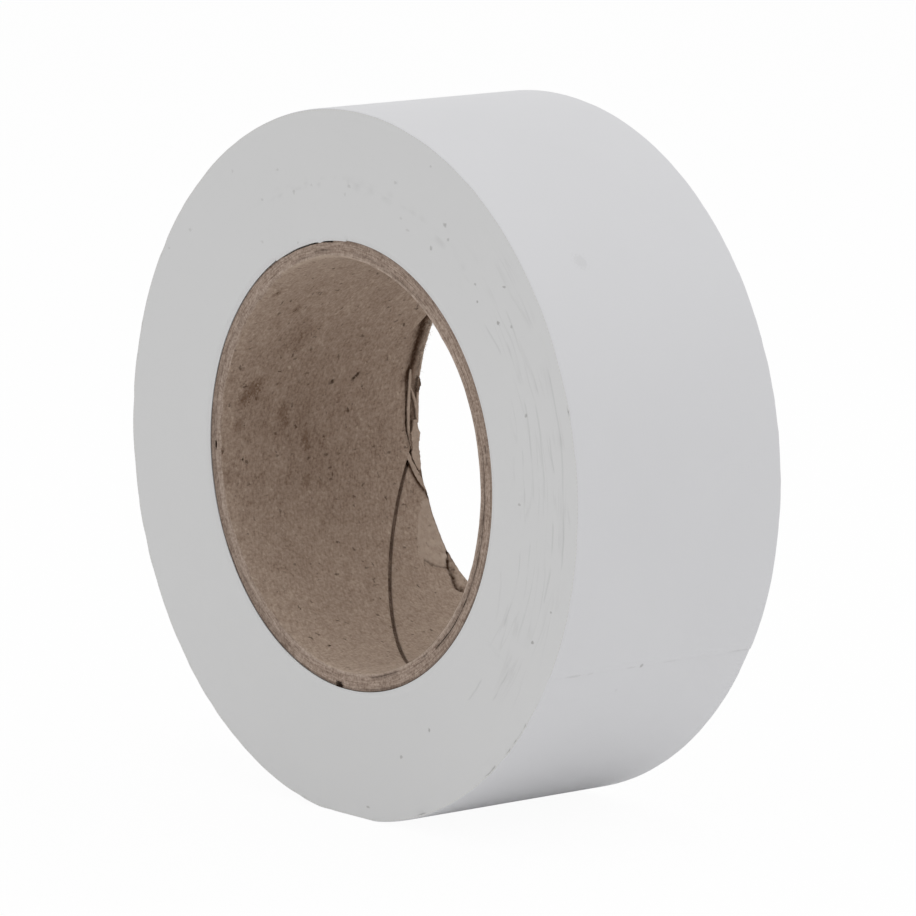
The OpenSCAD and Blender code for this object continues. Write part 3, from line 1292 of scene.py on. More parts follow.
    def _flare(self, ply: int, angle: np.ndarray, from_near: np.ndarray) -> np.ndarray:
        """How far the worn mouth of the bore is crushed outwards at the near rim.

        Args:
            ply: The ply's number.
            angle: Angles from 0 to 360.
            from_near: Distance from the near end.

        Returns:
            Outward offset: the cube of the nearness to the rim and a short worn bevel, widest at the left,
            less from ply to ply, and between two plies also a slow waver.
        """
        s = self.sizes
        arc = np.radians(angle) * s.bore_r
        wide = 0.12 + bells(angle, self.flares)
        wide = np.maximum(wide * (1.0 + 0.45 * rough(arc, 0.0, 7.0, 61, 5)), 0.03)
        t = np.clip(1.0 - from_near / self.mouth_l, 0.0, 1.0) ** 3
        length = self.bevel_l * (1.0 + 0.6 * rough(arc, 4.0, 3.0, 62, 4))
        worn = (0.2 + 0.55 * self.worn_rim.at(angle)) * (1.0 + 0.6 * rough(arc, 9.0, 3.0, 64, 4))
        bevel = worn * np.clip(1.0 - from_near / length, 0.0, 1.0)
        waver = 0.13 * rough(arc, 13.0 * ply, 5.0, 65)
        if ply == 3:
            turned = half_turn(angle)
            waver = waver + 0.12 * self.loose_third.at(turned) + 0.2 * bell(turned + 36.0, 10.0)
        return (t * wide + bevel) * (1.0 - (ply - 1) / s.plies) + t * waver * (1 < ply <= s.plies)

    def _split(self, ply: int, p: PlyPoints) -> tuple[np.ndarray, np.ndarray]:
        """How far a ply has come off the next one at the near rim, and how dark the line between them is.

        Args:
            ply: The ply's number.
            p: Points of one of the two plies.

        Returns:
            The split's width in millimetres and the line's darkness from 0 to 1: long splits at the right,
            short ones elsewhere, and faint lines that come and go; the darkness grows with the width as
            painted shade in the split.
        """
        turned = half_turn(p.angle)
        ragged = 0.75 + 0.5 * rough(p.arc, 5.0 * ply, 1.2, 67)
        parts = [width * arc.at(turned) for number, arc, width in self.splits if number == ply]
        width = sum(parts, np.zeros_like(turned)) * ragged
        faint = 0.04 + 0.22 * smoothstep(rough(p.arc, 7.7 * ply, 9.0, 66), 0.1, 0.7)
        return width, np.clip(faint + 3.2 * width, 0.0, 0.9)

    def _rim_splits(self, p: PlyPoints) -> None:
        """Part a ply from its neighbours at the near rim and darken the lines between them, partly as
        painted shade in the splits, in place.

        Args:
            p: The ply's points.
        """
        shade_and_darkening, line = p.marks["shade_and_darkening"], bell(p.from_near, 0.2)
        if p.ply < self.sizes.plies:
            width, darkness = self._split(p.ply, p)
            p.back -= width * bell(p.from_near, self.rim_depth)
            # Faint dark lines between the plies, and painted shade that deepens as a split widens, on both
            # plies beside it
            shade_and_darkening[1] += darkness * line
        if p.ply > 1:
            shade_and_darkening[0] += self._split(p.ply - 1, p)[1] * line
            # Darker along the left of the rim
            shade_and_darkening += 0.2 * self.darker_left_rim.at(p.angle) * line

    def _knocks(self, p: PlyPoints) -> None:
        """Make the single faults: the slit, the chip, the seam and the gap to the tape, in place.

        The slit, the chip and the seam get painted shade, and the outer ply a painted shadow along its near
        edge.

        Args:
            p: The ply's points.
        """
        s, shade_and_darkening = self.sizes, p.marks["shade_and_darkening"]
        rim = bell(p.from_near, self.rim_depth)
        slit, chip = self.slit.at(p.angle) * rim, self.chip.at(p.angle) * rim
        if p.ply == 1:
            p.back -= self.slit_depths[0] * slit
            # Painted shade in the slit
            shade_and_darkening[1] += slit
        if p.ply == 2:
            off_seam = half_turn(p.angle - s.seam_deg(1, p.y))
            p.wall += self.slit_depths[1] * slit
            # Painted shade on the second ply in the open seam and in the slit
            shade_and_darkening[0] += 0.65 * bell(np.radians(off_seam) * s.bore_r, 1.1) + slit
        if p.ply == s.plies - 1:
            p.back -= self.chip_depths[0] * chip
            # Painted shade in the chip
            shade_and_darkening += 0.9 * chip
        if p.ply == s.plies:
            gap = self.tape_gap.at(p.angle) * (1.0 - bell(p.angle - s.bridge_deg, s.bridge_w))
            shadow = 0.3 + 0.7 * self.left_shadow.at(p.angle) + 0.4 * self.right_shadow.at(p.angle)
            p.wall += self.chip_depths[1] * chip
            p.back -= self.gap_depth * gap * bell(p.from_near, 2.5) + 0.15 * shadow * bell(p.from_near, 0.45)
            # Painted shade in the chip, then a painted shadow along the near edge
            shade_and_darkening += 0.9 * chip
            for face, strength in enumerate((0.3, 0.7)):
                shade_and_darkening[face] += strength * shadow * bell(p.from_near, 0.5)

    @staticmethod
    def _seam_edges(p: PlyPoints, off: np.ndarray) -> None:
        """Raise the board beside the open seam, round its edges and paint shade on them, in place.

        Args:
            p: The ply's points.
            off: Distance from the seam along the wall.
        """
        open_here = smoothstep(p.from_near, 0.8, 3.0)
        p.wall += open_here * (0.12 * bell(off, 0.9) - 0.08 * bell(off, 2.2))
        # Painted shade along the seam's edges
        p.marks["shade_and_darkening"] += 0.15 * open_here * bell(off - off.min(), 0.4)

    def _bared(self, p: PlyPoints) -> None:
        """Roughen a ply where the tear bares it, paint on it the shade of the recess behind the torn edge,
        and leave its frayed end pale, in place.

        Args:
            p: The ply's points.
        """
        core_half = self.sizes.core_half
        edge = along(p.angle, self.tear, core_half + 1.0)
        beyond = p.y - edge
        bare = smoothstep(beyond, -0.6, 0.0)
        wide = smoothstep(core_half - edge, 0.4, 1.2)
        upper = self.frayed_tear.at(p.angle)
        frayed = bell(p.from_far, 1.0) * upper
        lower_deep = (0.7 * bell(beyond, 0.6) + 0.5) * (1.0 - upper)
        deep = 0.95 * (1.0 - smoothstep(beyond, 0.9, 1.9)) * upper + lower_deep
        p.wall += bare * 0.12 * rough(p.arc, p.y, 0.7, 31 + p.ply, 4)
        p.wall -= 0.25 * frayed * (1.0 + rough(p.arc, p.y, 0.6, 33 + p.ply, 3))
        # Painted shade in the recess behind the torn edge
        darkness = bare * deep * (1.0 - 0.9 * frayed)
        p.marks["shade_and_darkening"][0] += darkness * (wide if p.ply == 3 else 1.0)
        p.marks["shade_and_darkening"][1] += darkness * wide
        # Brown that warms the upper part of that painted shade
        p.marks["stain_and_shade"] += 0.6 * bare * upper * (1.0 - frayed)
        patchy = smoothstep(rough(p.arc, p.y, 0.8, 35 + p.ply), 0.0, 0.6)
        p.marks["torn"] += 0.85 * frayed + 0.3 * bare * patchy

    def _near_edge(self, p: PlyPoints, frayed: np.ndarray) -> None:
        """Rub the bore wall's near edge pale and darken its worn part, in place.

        Args:
            p: The innermost ply's points.
            frayed: Noise that breaks up the marks.
        """
        cut, rim = p.marks["cut"], bell(p.from_near, 0.3)
        reach = 0.3 + 0.5 * self.wide_cut.at(p.angle)
        reach = np.maximum(reach * (1.0 + 0.9 * rough(p.arc, 0.0, 3.0, 58, 4)), 0.05)
        band = (1.0 - smoothstep(p.from_near / reach, 0.7, 1.1)) * smoothstep(frayed, -0.9, 0.1)
        cut[0] += (0.25 - 0.17 * self.dull_cut.at(p.angle)) * band
        cut[0] += 0.1 * self.rubbed_cut.at(p.angle) * rim * smoothstep(frayed, -0.6, 0.4)
        cut[1] += 0.25 * rim * smoothstep(frayed, -0.3, 0.5)
        p.marks["shade_and_darkening"][0] += 0.12 * self.worn_rim.at(p.angle) * bell(p.from_near, 0.4)

    def _wall_light_and_stains(self, p: PlyPoints) -> None:
        """Paint light and shade on the bore wall, lighter at its bottom and top and darker at its left, and
        give it its cloudy stains, in place.

        Args:
            p: The innermost ply's points.
        """
        # Painted light and shade
        p.marks["pale"] += bells(p.angle, self.tones)
        degree = np.radians(1.0) * self.sizes.bore_r
        blots = [
            depth * bell(np.hypot((p.angle - angle) * degree, p.y - y), size)
            for angle, y, size, depth in self.clouds
        ]
        patchy = smoothstep(rough(p.arc, p.y, 2.6, 63, 1), -0.7, 0.3)
        p.marks["stain_and_shade"] += np.clip(np.sum(blots, axis=0), 0.0, 1.0) * patchy

    def _peeled_patch(self, p: PlyPoints, frayed: np.ndarray) -> None:
        """Peel the patch below the tear, crack the wall beside it and lift the lip behind it, with painted
        shade in the crack and along the patch's lower edge and darker flecks on the lip, in place.

        Args:
            p: The innermost ply's points.
            frayed: Noise that breaks up the marks.
        """
        low, high = along(p.angle, self.peeled_low), along(p.angle, self.peeled_high)
        ragged = (0.4 * frayed + 0.7 * rough(p.arc, p.y, 3.0, 59)) * self.ragged_peel.at(p.angle)
        peeled = self.peeled.at(p.angle) * smoothstep(p.y + ragged, low - 0.3, low + 0.3)
        peeled = peeled * (1.0 - smoothstep(p.y, high - 0.15, high + 0.15))
        wide = 0.22 + 0.25 * smoothstep(p.angle, 225.0, 229.0)
        crack = bell(line_distance(p.arc, p.y, self._on_wall(self.crack)) + 0.15 * frayed, wide)
        border = self._on_wall(self.peeled_low[4:])
        edge = bell(line_distance(p.arc, p.y, border) + 0.15 * frayed, 0.27)
        lip = self.lifted_lip.at(p.angle) * smoothstep(p.y, 20.4, 21.4)
        p.wall += self.crack_depth * crack + self.peel_depth * peeled + 0.12 * edge
        p.wall -= self.lip_rise * lip * (1.0 + frayed)
        p.marks["torn"] += peeled * (0.36 + 0.28 * frayed) + 0.35 * lip * smoothstep(frayed, -0.2, 0.5)
        # Painted shade in the crack and along the patch's lower edge, and darker flecks on the lip
        p.marks["shade_and_darkening"] += 0.3 * lip * smoothstep(frayed, 0.1, -0.5) + 0.85 * crack + 0.6 * edge

    def _torn_edge(self, p: PlyPoints) -> None:
        """Bend the upper part of the torn far edge back and paint shade on the bent part and along the torn
        edge, in place.

        Args:
            p: The innermost ply's points.
        """
        shade_and_darkening = p.marks["shade_and_darkening"]
        torn = smoothstep(self.sizes.core_half - (p.y + p.from_far), 0.5, 1.5)
        bent = self.bent_tear.at(p.angle) * bell(p.from_far, 1.4)
        p.wall += self.bent_depth * bent
        # Painted shade where the edge bends away, warmed with brown, and along the torn edge
        p.marks["stain_and_shade"] += 0.35 * bent
        shade_and_darkening += 0.3 * torn * bell(p.from_far, 0.35) + 0.45 * bent
        shade_and_darkening += 0.8 * self.dark_tear.at(p.angle) * bell(p.from_far - 0.2, 0.25)
        shade_and_darkening += 0.5 * self.low_tear.at(p.angle) * bell(p.from_far, 0.18)

    def _ribbon(self, number: int, shred: Shred) -> Slab:
        """Make a torn strip: a thin ribbon along its path, ragged and narrower towards its ends.

        Args:
            number: The strip's number, which seeds its noise.
            shred: The strip.

        Returns:
            The ribbon.
        """
        r_bore, columns, thick = self.sizes.bore_r, 7, 0.3
        t = np.linspace(0.0, 1.0, 48)
        knots = np.linspace(0.0, 1.0, len(shred.path))
        angle, y, depth = (np.interp(t, knots, column) for column in np.array(shred.path).T)
        arc = np.radians(angle) * r_bore
        run = np.hypot(np.gradient(arc), np.gradient(y))
        ragged = 1.0 + 0.35 * rough(t * 14.0, number * 5.0, 1.0, 90 + number)
        narrowed = ragged * (0.3 + 0.7 * np.sqrt(np.sin(np.pi * np.clip(t, 0.02, 0.98))))
        side = np.linspace(-0.5, 0.5, columns)[None, :] * shred.width * narrowed[:, None]
        arc = arc[:, None] - side * (np.gradient(y) / run)[:, None]
        y = y[:, None] + side * (np.gradient(arc[:, columns // 2]) / run)[:, None]
        r = r_bore + depth[:, None] + 0.07 * rough(arc * 2.0, y * 5.0, 1.0, 95 + number)
        angle = np.degrees(arc / r_bore)
        return Slab(around(r, angle, y), around(r + thick, angle, y))

    def _torn_shreds(self, board: Material) -> None:
        """Build the torn strips left on the far rim as one piece.

        Args:
            board: Their material.
        """
        solids = [self._ribbon(number, shred) for number, shred in enumerate(self.shreds)]
        starts = np.cumsum([0] + [len(x.points()) for x in solids])
        points = np.concatenate([x.points() for x in solids])
        faces = np.concatenate([x.faces() + start for x, start in zip(solids, starts)])
        piece = make_mesh("core_torn_shreds", points, faces)
        add_uv(piece, points[:, [2, 1]])
        add_mark(piece, "torn", np.repeat([shred.pale for shred in self.shreds], np.diff(starts)))
        add_mark(piece, "shade_and_darkening", np.repeat([shred.shade_and_darkening for shred in self.shreds], np.diff(starts)))
        place(piece, board, Body.ROLL, "paper")

    def _loose_fibres(self, board: Material) -> None:
        """Build the loose fibres of the torn rim: tapered threads on bent lines, closed at both ends.

        Args:
            board: Their material.
        """
        rng = np.random.default_rng(5)
        count, rings, sides = self.fibre_count, 5, 4
        angle = 147.0 + 24.0 * rng.beta(1.6, 2.2, count)
        y = 23.3 - rng.uniform(0.0, 1.0, count) * 0.9
        depth = 0.2 + rng.uniform(-0.15, 0.3, count)
        root = around(self.sizes.bore_r + depth, angle, y) / MM
        inward = -root * np.array([1.0, 0.0, 1.0]) / np.hypot(root[:, 0], root[:, 2])[:, None]
        axial = np.array([0.0, 1.0, 0.0])
        sideways = np.cross(inward, axial)
        lean = rng.normal(0.0, 0.9, (count, 1)) * sideways + rng.uniform(0.2, 0.9, (count, 1)) * inward
        lean = lean + rng.normal(-0.3, 0.7, (count, 1)) * axial
        lean = lean / np.linalg.norm(lean, axis=1)[:, None]
        length = rng.uniform(0.2, 0.9, (count, 1, 1))
        bend = rng.normal(0.0, 0.35, (count, 1, 3))
        t = np.linspace(0.0, 1.0, rings)[None, :, None]
        line = root[:, None] + length * (lean[:, None] * t + bend * t**2)
        thick = rng.uniform(0.03, 0.07, (count, 1, 1)) * (1.0 - 0.75 * t)
        spoke = np.radians(np.arange(sides) * 360.0 / sides)[None, None, :, None]
        ring = thick[..., None] * (np.cos(spoke) * sideways[:, None, None] + np.sin(spoke) * axial)
        points = ((line[:, :, None] + ring) * MM).reshape(-1, 3)
        base = np.arange(count * rings * sides).reshape(count, rings, sides)
        turned = np.roll(base, -1, axis=2)
        corners = [base[:, :-1], base[:, 1:], turned[:, 1:], turned[:, :-1]]
        walls = np.stack(corners, axis=-1).reshape(-1, 4)
        faces = np.concatenate([walls, base[:, 0], base[:, -1, ::-1]])
        piece = make_mesh("core_loose_fibres", points, faces, 180.0)
        add_uv(piece, points[:, [2, 1]])
        add_mark(piece, "torn", np.repeat(rng.uniform(0.4, 1.0, count), rings * sides))
        place(piece, board, Body.ROLL, "paper")


@dataclass
class TapePack:
    """The first turn on the core and the tight turns around it.

    Each crease in the near face is a line of (angle, radius) corners.
    """

    sizes: RollSizes
    edge: Material
    film: Material
    slack: float = 0.01
    sag: float = 0.45
    corner_points: int = 8
    crease_w: float = 0.17
    crease_depth: float = 0.05
    scuff: Arc = Arc(52.0, 114.0, 8.0)
    worn_face: Arc = Arc(-30.0, 40.0, 14.0)
    creases: tuple[Path, ...] = (
        ((-8.8, 62.3), (2.5, 61.9), (7.1, 62.3), (11.4, 62.5), (15.3, 62.3), (22.3, 62.6)),
        ((1.7, 53.7), (7.5, 54.0), (12.0, 53.9), (18.9, 54.2)),
        ((2.1, 56.9), (10.3, 56.9), (17.5, 57.0)),
        ((21.2, 58.3), (24.6, 57.9), (26.1, 57.1)),
        ((6.8, 59.8), (8.8, 59.5), (11.9, 59.5)),
        ((0.3, 51.3), (5.1, 51.2), (9.9, 51.5)),
        ((31.1, 51.4), (36.4, 50.5)),
        ((27.2, 53.9), (30.5, 54.0)),
        ((5.4, 48.6), (8.3, 48.8)),
        ((28.9, 56.6), (35.7, 57.1)),
        ((-27.3, 48.7), (-21.0, 47.6), (-17.1, 46.7)),
        ((-26.0, 50.9), (-19.6, 51.3), (-14.7, 51.4), (-11.0, 50.9)),
        ((-18.1, 54.0), (-13.6, 53.7), (-8.5, 53.3)),
        ((-7.2, 59.3), (-3.0, 59.2)),
        ((-1.5, 63.8), (0.3, 63.2)),
        ((-16.3, 59.3), (-11.6, 59.5)),
        ((-46.4, 52.0), (-41.6, 51.8)),
        ((-40.4, 56.4), (-32.8, 56.1)),
    )

    def build(self) -> None:
        """Build both pieces."""
        self._first_turn()
        self._wound_turns()

    def _first_turn(self) -> None:
        """Build the first turn: a flat ring that is open beside its cut end."""
        s = self.sizes
        angle = np.linspace(s.lead_end_deg + s.lead_gap_deg, s.lead_end_deg + 360.0, 330)[:, None]
        y = graded((-s.core_half - 0.05, s.core_half + 0.05, 6.0))[None, :]
        solid = Slab(around(s.core_r + s.core_clearance, angle, y), around(s.first_r - 0.005, angle, y))
        piece = make_mesh("first_turn", solid.points(), solid.faces())
        place(piece, self.edge, Body.ROLL, "wound_tape", "first_turn")

    def _crease(self, r: np.ndarray, angle: np.ndarray, seed: int) -> np.ndarray:
        """Depth of the creases in a side face: thin wavering lines around the roll that come and go.

        Args:
            r: Radii.
            angle: Angles.
            seed: Seed of the wavering.

        Returns:
            Values from 0 to 1.
        """
        turned = half_turn(angle)
        arc = np.radians(turned) * 55.0
        waver = r + 0.35 * rough(arc, r * 0.5, 7.0, seed + 3, 3)
        faint = smoothstep(rough(arc, r, 6.0, seed + 4), -0.9, 0.3)
        lines = [
            bell(waver - along(turned, path), self.crease_w) * window(turned, path[0][0], path[-1][0], 1.2)
            for path in self.creases
        ]
        blotchy = smoothstep(rough(arc, r, 1.3, seed + 5), 0.0, 0.6)
        scuff = 0.6 * bell(r - 52.4, 1.0) * self.scuff.at(turned) * blotchy
        return np.clip(np.sum(lines, axis=0) * faint + scuff, 0.0, 1.0)

    def _rows(self) -> np.ndarray:
        """Angles of the pack's rows, closest together at the first turn's ends and along the knocks."""
        s = self.sizes
        lead, back_at = s.lead_end_deg, s.lead_end_deg + s.lead_gap_deg
        return graded(
            (s.step_deg, 50.0, 1.0),
            (50.0, lead - 2.0, 1.5),
            (lead - 2.0, lead + 3.0, 0.4),
            (lead + 3.0, 98.0, 1.0),
            (98.0, 104.0, 0.5),
            (104.0, back_at - 3.0, 1.2),
            (back_at - 3.0, back_at + 2.0, 0.4),
            (back_at + 2.0, 285.0, 1.5),
            (285.0, s.step_deg + 359.95, 0.55),
        )

    def _wound_turns(self) -> None:
        """Build the pack: two side faces with rounded outer corners, and the walls between them.

        A side face is a polar grid from the first turn to the rim. It stands out by slow waves and a
        finer rise and fall from turn to turn, less the creases, and bevels down to the core's end. Its
        crease mark paints shade into the creases and into the gap beside each knock in the rim. The far
        face's marks are the near one's, turned.
        """
        s = self.sizes
        angle = self._rows()[:, None]
        flush = s.lay_clearance * (1.0 - smoothstep(angle - s.step_deg, s.lap_deg, s.lap_deg + 1.0))
        rim = s.winding_r(angle, 0.0) + flush - self.slack
        open_to = s.lead_end_deg + s.lead_gap_deg
        hollow = window(angle, s.lead_end_deg + 0.6, open_to - 0.6, 0.5)
        hollow = hollow + 0.5 * bell(angle - s.bridge_deg, s.bridge_w)
        inside = s.first_r - self.sag * hollow
        share = graded(
            (0.0, 0.04, 0.008), (0.04, 0.3, 0.013), (0.3, 0.9, 0.007), (0.9, 0.97, 0.012), (0.97, 1.0, 0.004)
        )[None, :]
        corner = np.linspace(0.0, 1.0, self.corner_points)[None, 1:]
        flat_r = inside + (rim - s.edge_drop - inside) * share
        round_r = rim - s.edge_drop * (1.0 - corner) ** 3
        r = np.concatenate([flat_r, round_r], axis=1)
        back = np.concatenate([np.zeros_like(flat_r), s.edge_drop_w * corner * np.ones_like(rim)], axis=1)
        bevel = (s.half - s.core_half) * (1.0 - smoothstep(r - inside, -0.3, 0.8))
        every = angle * np.ones_like(r)
        fade = np.clip((rim - s.edge_drop - r) / 0.4, 0.0, 1.0)
        grids, creases, worn = [], [], []
        for side, seed, shift in ((-1.0, 3, 0.0), (1.0, 17, 140.0)):
            crease = self._crease(r, every + shift, seed)
            turns = 0.002 * lattice_noise(r / 0.5, every / 25.0, seed + 1)
            waves = 0.03 * rough(r, every / 3.0, 9.0, seed + 2)
            height = fade * (turns + waves - self.crease_depth * crease) - bevel
            nick = s.nick(every) if side < 0 else np.zeros_like(every)
            knock = (nick + s.fray(every, side)) * bell(rim - r, 0.9)
            grids.append(around(r, angle, side * (s.half - back + height - knock))[:, ::-1])
            # Painted shade in the creases and in the gap beside each knock in the rim
            line = rim - 0.2 - r + 0.25 * rough(every, 0.0, 1.5, 83)
            darkness = 0.8 * smoothstep(nick, 0.08, 0.3) * bell(line, 0.14)
            creases.append(np.clip(0.25 * crease + darkness, 0.0, 1.0)[:, ::-1].ravel())
            rubbed = self.worn_face.at(half_turn(every + shift)) * window(r, 50.5, 62.5, 2.0)
            worn.append(rubbed[:, ::-1].ravel())
        solid = Slab(*grids, ring=True)
        points = solid.points()
        piece = make_mesh("wound_turns", points, solid.faces(), 55.0)
        arc = np.arctan2(points[:, 2], points[:, 0]) * s.roll_r * MM
        add_uv(piece, np.stack([arc, points[:, 1]], axis=-1))
        add_mark(piece, "crease", np.concatenate(creases))
        add_mark(piece, "worn", np.concatenate(worn))
        place(piece, self.edge, Body.ROLL, "wound_tape", "wound_turns")
        piece.data.materials.append(self.film)
        facing(piece, None, 0.5)


@dataclass
class OuterTurn:
    """The last turn of tape in its three layers, and the tail that peels off it."""

    sizes: RollSizes
    finishes: dict[Layer, Material]
    worn_l: float = 1.6
    row_step: float = 1.0
    tail_row_step: float = 0.28
    edge_step: float = 0.1
    middle_step: float = 1.4
    nick_w: float = 0.8

    def build(self) -> None:
        """Build the outer turn and the three lengths of the tail, layer by layer."""
        s = self.sizes
        bodies = (Body.ROLL, Body.TAIL_ROOT, Body.TAIL_MID, Body.TAIL_TIP)
        whole = (s.tail_start_deg, s.step_deg + 360.0)
        for layer in Layer:
            self._strip(f"outer_turn_{layer.value}", layer, whole, self.row_step, Body.ROLL)
            for number, (parent, body) in enumerate(zip(bodies, bodies[1:])):
                low = s.tail_end_deg + (2 - number) * s.link_deg
                ends = (low, low + s.link_deg)
                self._strip(f"{body.value}_{layer.value}", layer, ends, self.tail_row_step, body, parent)

    def _worn(self, angle: np.ndarray, y: np.ndarray) -> np.ndarray:
        """Share of its thickness that the tape keeps: its rubbed cut end is thin, least so at the far edge.

        Args:
            angle: Angles in degrees.
            y: Places along the axis.

        Returns:
            Values from 0 to 1.
        """
        s = self.sizes
        kept = 0.34 + 0.4 * smoothstep(y, 6.0, 20.0) + 0.08 * rough(y, 0.0, 4.0, 81)
        past = np.radians(angle - s.tail_end_deg) * s.roll_r
        at_end = (1.0 - smoothstep(past, 0.0, self.worn_l)) * (np.abs(past) < 2 * self.worn_l)
        return 1.0 - (1.0 - kept) * at_end

    def _strip(
        self,
        name: str,
        layer: Layer,
        ends: tuple[float, float],
        step: float,
        body: Body,
        parent: Body | None = None,
    ) -> None:
        """Build one layer of a length of tape: the winding's outline carried across the width.

        Args:
            name: The CAD node that the piece replaces.
            layer: The layer.
            ends: Angles at which the length starts and ends.
            step: Angle between rows.
            body: The body that it moves with.
            parent: The body of the length before it, for a length of the tail, which is then attached to no
                body.
        """
        s = self.sizes
        inner, outer = s.layer_s(layer)
        angle = graded((*ends, step))[:, None]
        edge = s.half - s.edge_drop_w
        y = graded(
            (-s.half, -edge, self.edge_step), (-edge, edge, self.middle_step), (edge, s.half, self.edge_step)
        )[None, :]
        drop = s.drop(y)
        kept = self._worn(angle, y)
        wave = 0.012 * rough(np.radians(angle) * s.roll_r, y, 12.0, 77) if layer is Layer.FILM else 0.0
        near_cut = (s.nick(angle) + s.fray(angle, -1.0)) * bell(y + s.half, self.nick_w)
        sunk = y + near_cut - s.fray(angle, 1.0) * bell(y - s.half, self.nick_w)
        top = around(s.winding_r(angle, outer * kept) - drop + wave, angle, sunk)
        under = around(s.winding_r(angle, inner * kept) - drop, angle, sunk)
        solid = Slab(top[:, ::-1], under[:, ::-1])
        piece = make_mesh(name, solid.points(), solid.faces())
        coords = np.stack(np.broadcast_arrays(np.radians(angle) * s.roll_r * MM, y * MM), axis=-1)
        coords = coords[:, ::-1].reshape(-1, 2)
        add_uv(piece, np.concatenate([coords, coords]))
        if parent is None:
            place(piece, self.finishes[layer], body, layer.value, name)
            return
        piece.data.materials.append(self.finishes[layer])
        low, high = (Vector(around(s.winding_r(np.float64(a), s.rim_s), np.float64(a), 0.0)) for a in ends)
        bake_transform(piece)
        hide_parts(name)
        LOG.info("%s: %d points, bends off %s", name, len(piece.data.vertices), parent.value)


# The studio


@dataclass(frozen=True)
class Studio:
    """White sweep, soft light from above, and the photograph's camera."""

    floor_z: float
    azimuth: float = 50.87
    elevation: float = 9.35
    distance: float = 1298.0
    focal_px: float = 6990.0
    image_px: float = 916.0
    shift_right: float = 1.85
    shift_up: float = -0.87
    sensor_mm: float = 36.0
    sky: float = 0.71
    floor_reach: float = 6.0
    floor_tone: str = "#f6f6f6"
    floor_glow: float = 0.06
    floor_white: float = 0.95
    floor_mirror: float = 0.18
    overhead_w: float = 2.6
    back_w: float = 0.8

    def build(self) -> None:
        """Make the camera, the floor, the world and the lamps."""
        self._camera()
        self._floor()
        self._world()
        self._lamp("overhead_softbox", (0.2, 0.08, 1.05), 1.2, self.overhead_w)
        self._lamp("back_softbox", (0.2, 0.8, 0.9), 0.8, self.back_w)

    def _axes(self) -> tuple[Vector, Vector, Vector]:
        """The camera's right, up and back directions in the frame."""
        a, e = np.radians([self.azimuth, self.elevation])
        back = Vector((np.sin(a) * np.cos(e), -np.cos(a) * np.cos(e), np.sin(e)))
        right = Vector((np.cos(a), np.sin(a), 0.0))
        return right, back.cross(right), back

    def _camera(self) -> None:
        """Stand the camera where the photograph was taken from."""
        right, up, back = self._axes()
        data = bpy.data.cameras.new("photo_camera")
        data.sensor_width = self.sensor_mm
        data.lens = self.focal_px / self.image_px * self.sensor_mm
        data.clip_start, data.clip_end = 0.01, 100.0
        camera = bpy.data.objects.new("photo_camera", data)
        bpy.context.collection.objects.link(camera)
        turn = Matrix((right, up, back)).transposed().to_4x4()
        spot = (back * self.distance + right * self.shift_right + up * self.shift_up) * MM
        camera.matrix_world = Matrix.Translation(spot) @ turn
        bpy.context.scene.camera = camera

    @staticmethod
    def _shown(tree: Tree, mirrored: float) -> Socket:
        """Output that tells what the camera sees from what only lights the roll.

        Args:
            tree: The node tree.
            mirrored: Its value for what is seen by reflection or through glass.

        Returns:
            Output that is 1 for what the camera sees directly.
        """
        path = add(tree, "LightPath").outputs
        either = calc("MAXIMUM", path["Is Glossy Ray"], path["Is Transmission Ray"])
        return calc("MAXIMUM", calc("MULTIPLY", either, mirrored), path["Is Camera Ray"])

    def _floor(self) -> None:
        """Lay a pale floor that the camera sees as white, apart from the roll's faint shadow."""
        corners = self.floor_reach * np.array([[-1.0, -1.0], [1.0, -1.0], [1.0, 1.0], [-1.0, 1.0]])
        points = np.column_stack([corners, np.full(4, self.floor_z * MM)])
        floor = make_mesh("studio_floor", points, np.array([[0, 1, 2, 3]]))
        material, tree, shader = new_material("pale studio floor")
        matt = {"Base Color": linear(self.floor_tone), "Roughness": 0.9, "Specular IOR Level": 0.1}
        connect(shader, {**matt, "Emission Color": WHITE, "Emission Strength": self.floor_glow})
        glow = add(tree, "Emission", {"Color": WHITE, "Strength": 1.0})
        seen = calc("MULTIPLY", self._shown(tree, self.floor_mirror), self.floor_white)
        both = add(tree, "MixShader", {0: seen, 1: shader.outputs[0], 2: glow.outputs[0]})
        connect(tree.nodes["Material Output"], {"Surface": both.outputs[0]})
        floor.data.materials.append(material)

    def _world(self) -> None:
        """Even white surroundings: full white to the camera, the sky's level to everything else."""
        world = bpy.data.worlds.new("white_surroundings")
        world.use_nodes = True
        tree = world.node_tree
        level = ramp(self._shown(tree, 1.0), 0.0, 1.0, self.sky, 1.0)
        connect(tree.nodes["Background"], {"Color": WHITE, "Strength": level})
        bpy.context.scene.world = world

    def _lamp(self, name: str, spot: tuple[float, float, float], size: float, power: float) -> None:
        """Hang a soft square lamp that faces the roll.

        Args:
            name: The lamp's name.
            spot: Its place in metres.
            size: Its side in metres.
            power: Its power in watts.
        """
        data = bpy.data.lights.new(name, "AREA")
        data.size, data.energy = size, power
        lamp = bpy.data.objects.new(name, data)
        bpy.context.collection.objects.link(lamp)
        lamp.location = spot
        lamp.rotation_euler = (-Vector(spot)).to_track_quat("-Z", "Y").to_euler()


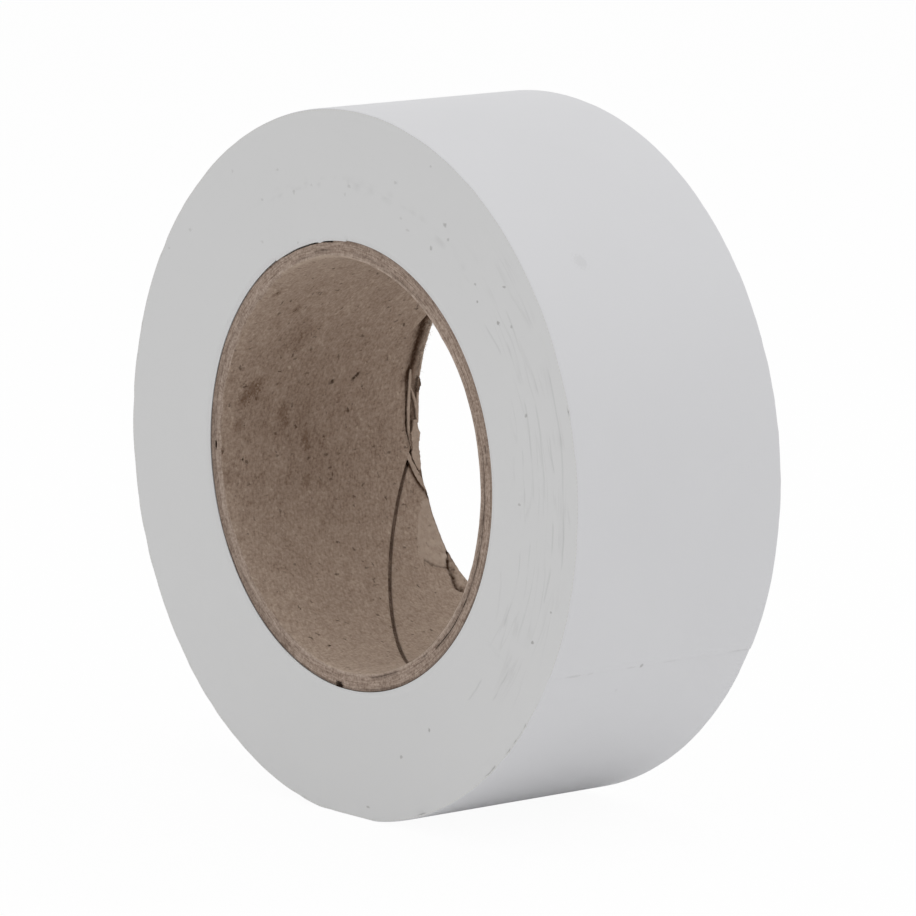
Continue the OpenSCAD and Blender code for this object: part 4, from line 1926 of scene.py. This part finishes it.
def film_marks(sizes: RollSizes) -> tuple[Spot, ...]:
    """Marks on the outer film: a smear above the tail, specks below and at its cut end, and dashes of
    painted shadow along the cut end.

    Args:
        sizes: The roll's sizes.

    Returns:
        The marks as spots in the film's UV map.
    """
    end = sizes.tail_end_deg
    seen = (
        (39.75, -10.7, 1.3, 1.1, 0.1),
        (end, -2.2, 0.35, 0.3, 0.5),
        (-32.75, -5.9, 0.3, 0.3, 0.08),
        (-37.25, 9.2, 0.3, 0.3, 0.15),
        # Dashes across the tape at its cut end: painted shadow under the cut end
        (end, -18.1, 0.25, 1.5, 0.16),
        (end, -14.2, 0.2, 0.5, 0.12),
        (end, -4.6, 0.2, 0.9, 0.12),
        (end, 4.7, 0.2, 1.6, 0.09),
        (end, 21.4, 0.25, 2.0, 0.14),
    )
    return tuple(
        Spot((float(np.radians(a)) * sizes.roll_r, y, 0.0), (along_tape, across, 1.0), depth)
        for a, y, along_tape, across, depth in seen
    )


def face_specks(sizes: RollSizes) -> tuple[Spot, ...]:
    """Specks of dust on the near side face.

    Args:
        sizes: The roll's sizes.

    Returns:
        The specks as spots in the frame's coordinates.
    """
    seen = (
        (60.1, 49.6), (58.9, 55.6), (56.7, 53.9), (45.4, 53.1), (42.5, 51.4), (40.1, 59.3), (35.8, 53.9),
        (33.4, 56.8), (15.8, 65.5), (17.0, 53.9), (-0.6, 49.7), (-17.7, 61.5), (-25.0, 59.0), (-62.1, 51.5),
        (-84.4, 63.1), (-72.9, 54.2),
    )
    faint = (
        (118.1, 53.2), (89.0, 52.0), (90.3, 50.3), (122.7, 46.4), (109.6, 42.5), (123.6, 61.6),
        (111.1, 56.7), (74.9, 55.8), (71.4, 50.2), (101.3, 52.1), (107.4, 51.7), (66.9, 62.8),
        (140.5, 61.3), (147.1, 64.2), (68.4, 49.0),
    )
    least, most, faintness = (0.2, 0.15, 0.35), (0.45, 0.35, 0.65), 0.45
    rng = np.random.default_rng(8)
    spots = []
    for strength, places in ((1.0, seen), (faintness, faint)):
        for a, r in places:
            wide, tall, depth = (float(value) for value in rng.uniform(least, most))
            centre = (r * float(np.cos(np.radians(a))), -sizes.half, r * float(np.sin(np.radians(a))))
            spots.append(Spot(centre, (wide, 1.0, tall), strength * depth))
    return tuple(spots)


def main() -> None:
    """Build the roll piece by piece, then the studio around it."""
    logging.basicConfig(level=logging.INFO, format="%(name)s: %(message)s")
    bpy.context.scene.view_settings.view_transform = "Standard"
    sizes = RollSizes.of_frame()
    film = SmoothFilm().material(film_marks(sizes))
    finishes = {
        Layer.ADHESIVE: Gauze("natural rubber adhesive", "#dcdcda", "#d5d5d2", 0.32, 0.06).material(),
        Layer.SCRIM: Gauze("woven gauze scrim", "#dedddb", "#cfcecb", 0.85, 0.05).material(),
        Layer.FILM: film,
    }
    PaperCore(sizes, CoreBoard(), SlicedBoard()).build()
    TapePack(sizes, SlitEdge().material(face_specks(sizes)), film).build()
    OuterTurn(sizes, finishes).build()
    Studio(sizes.floor_z).build()


if __name__ == "__main__":
    main()
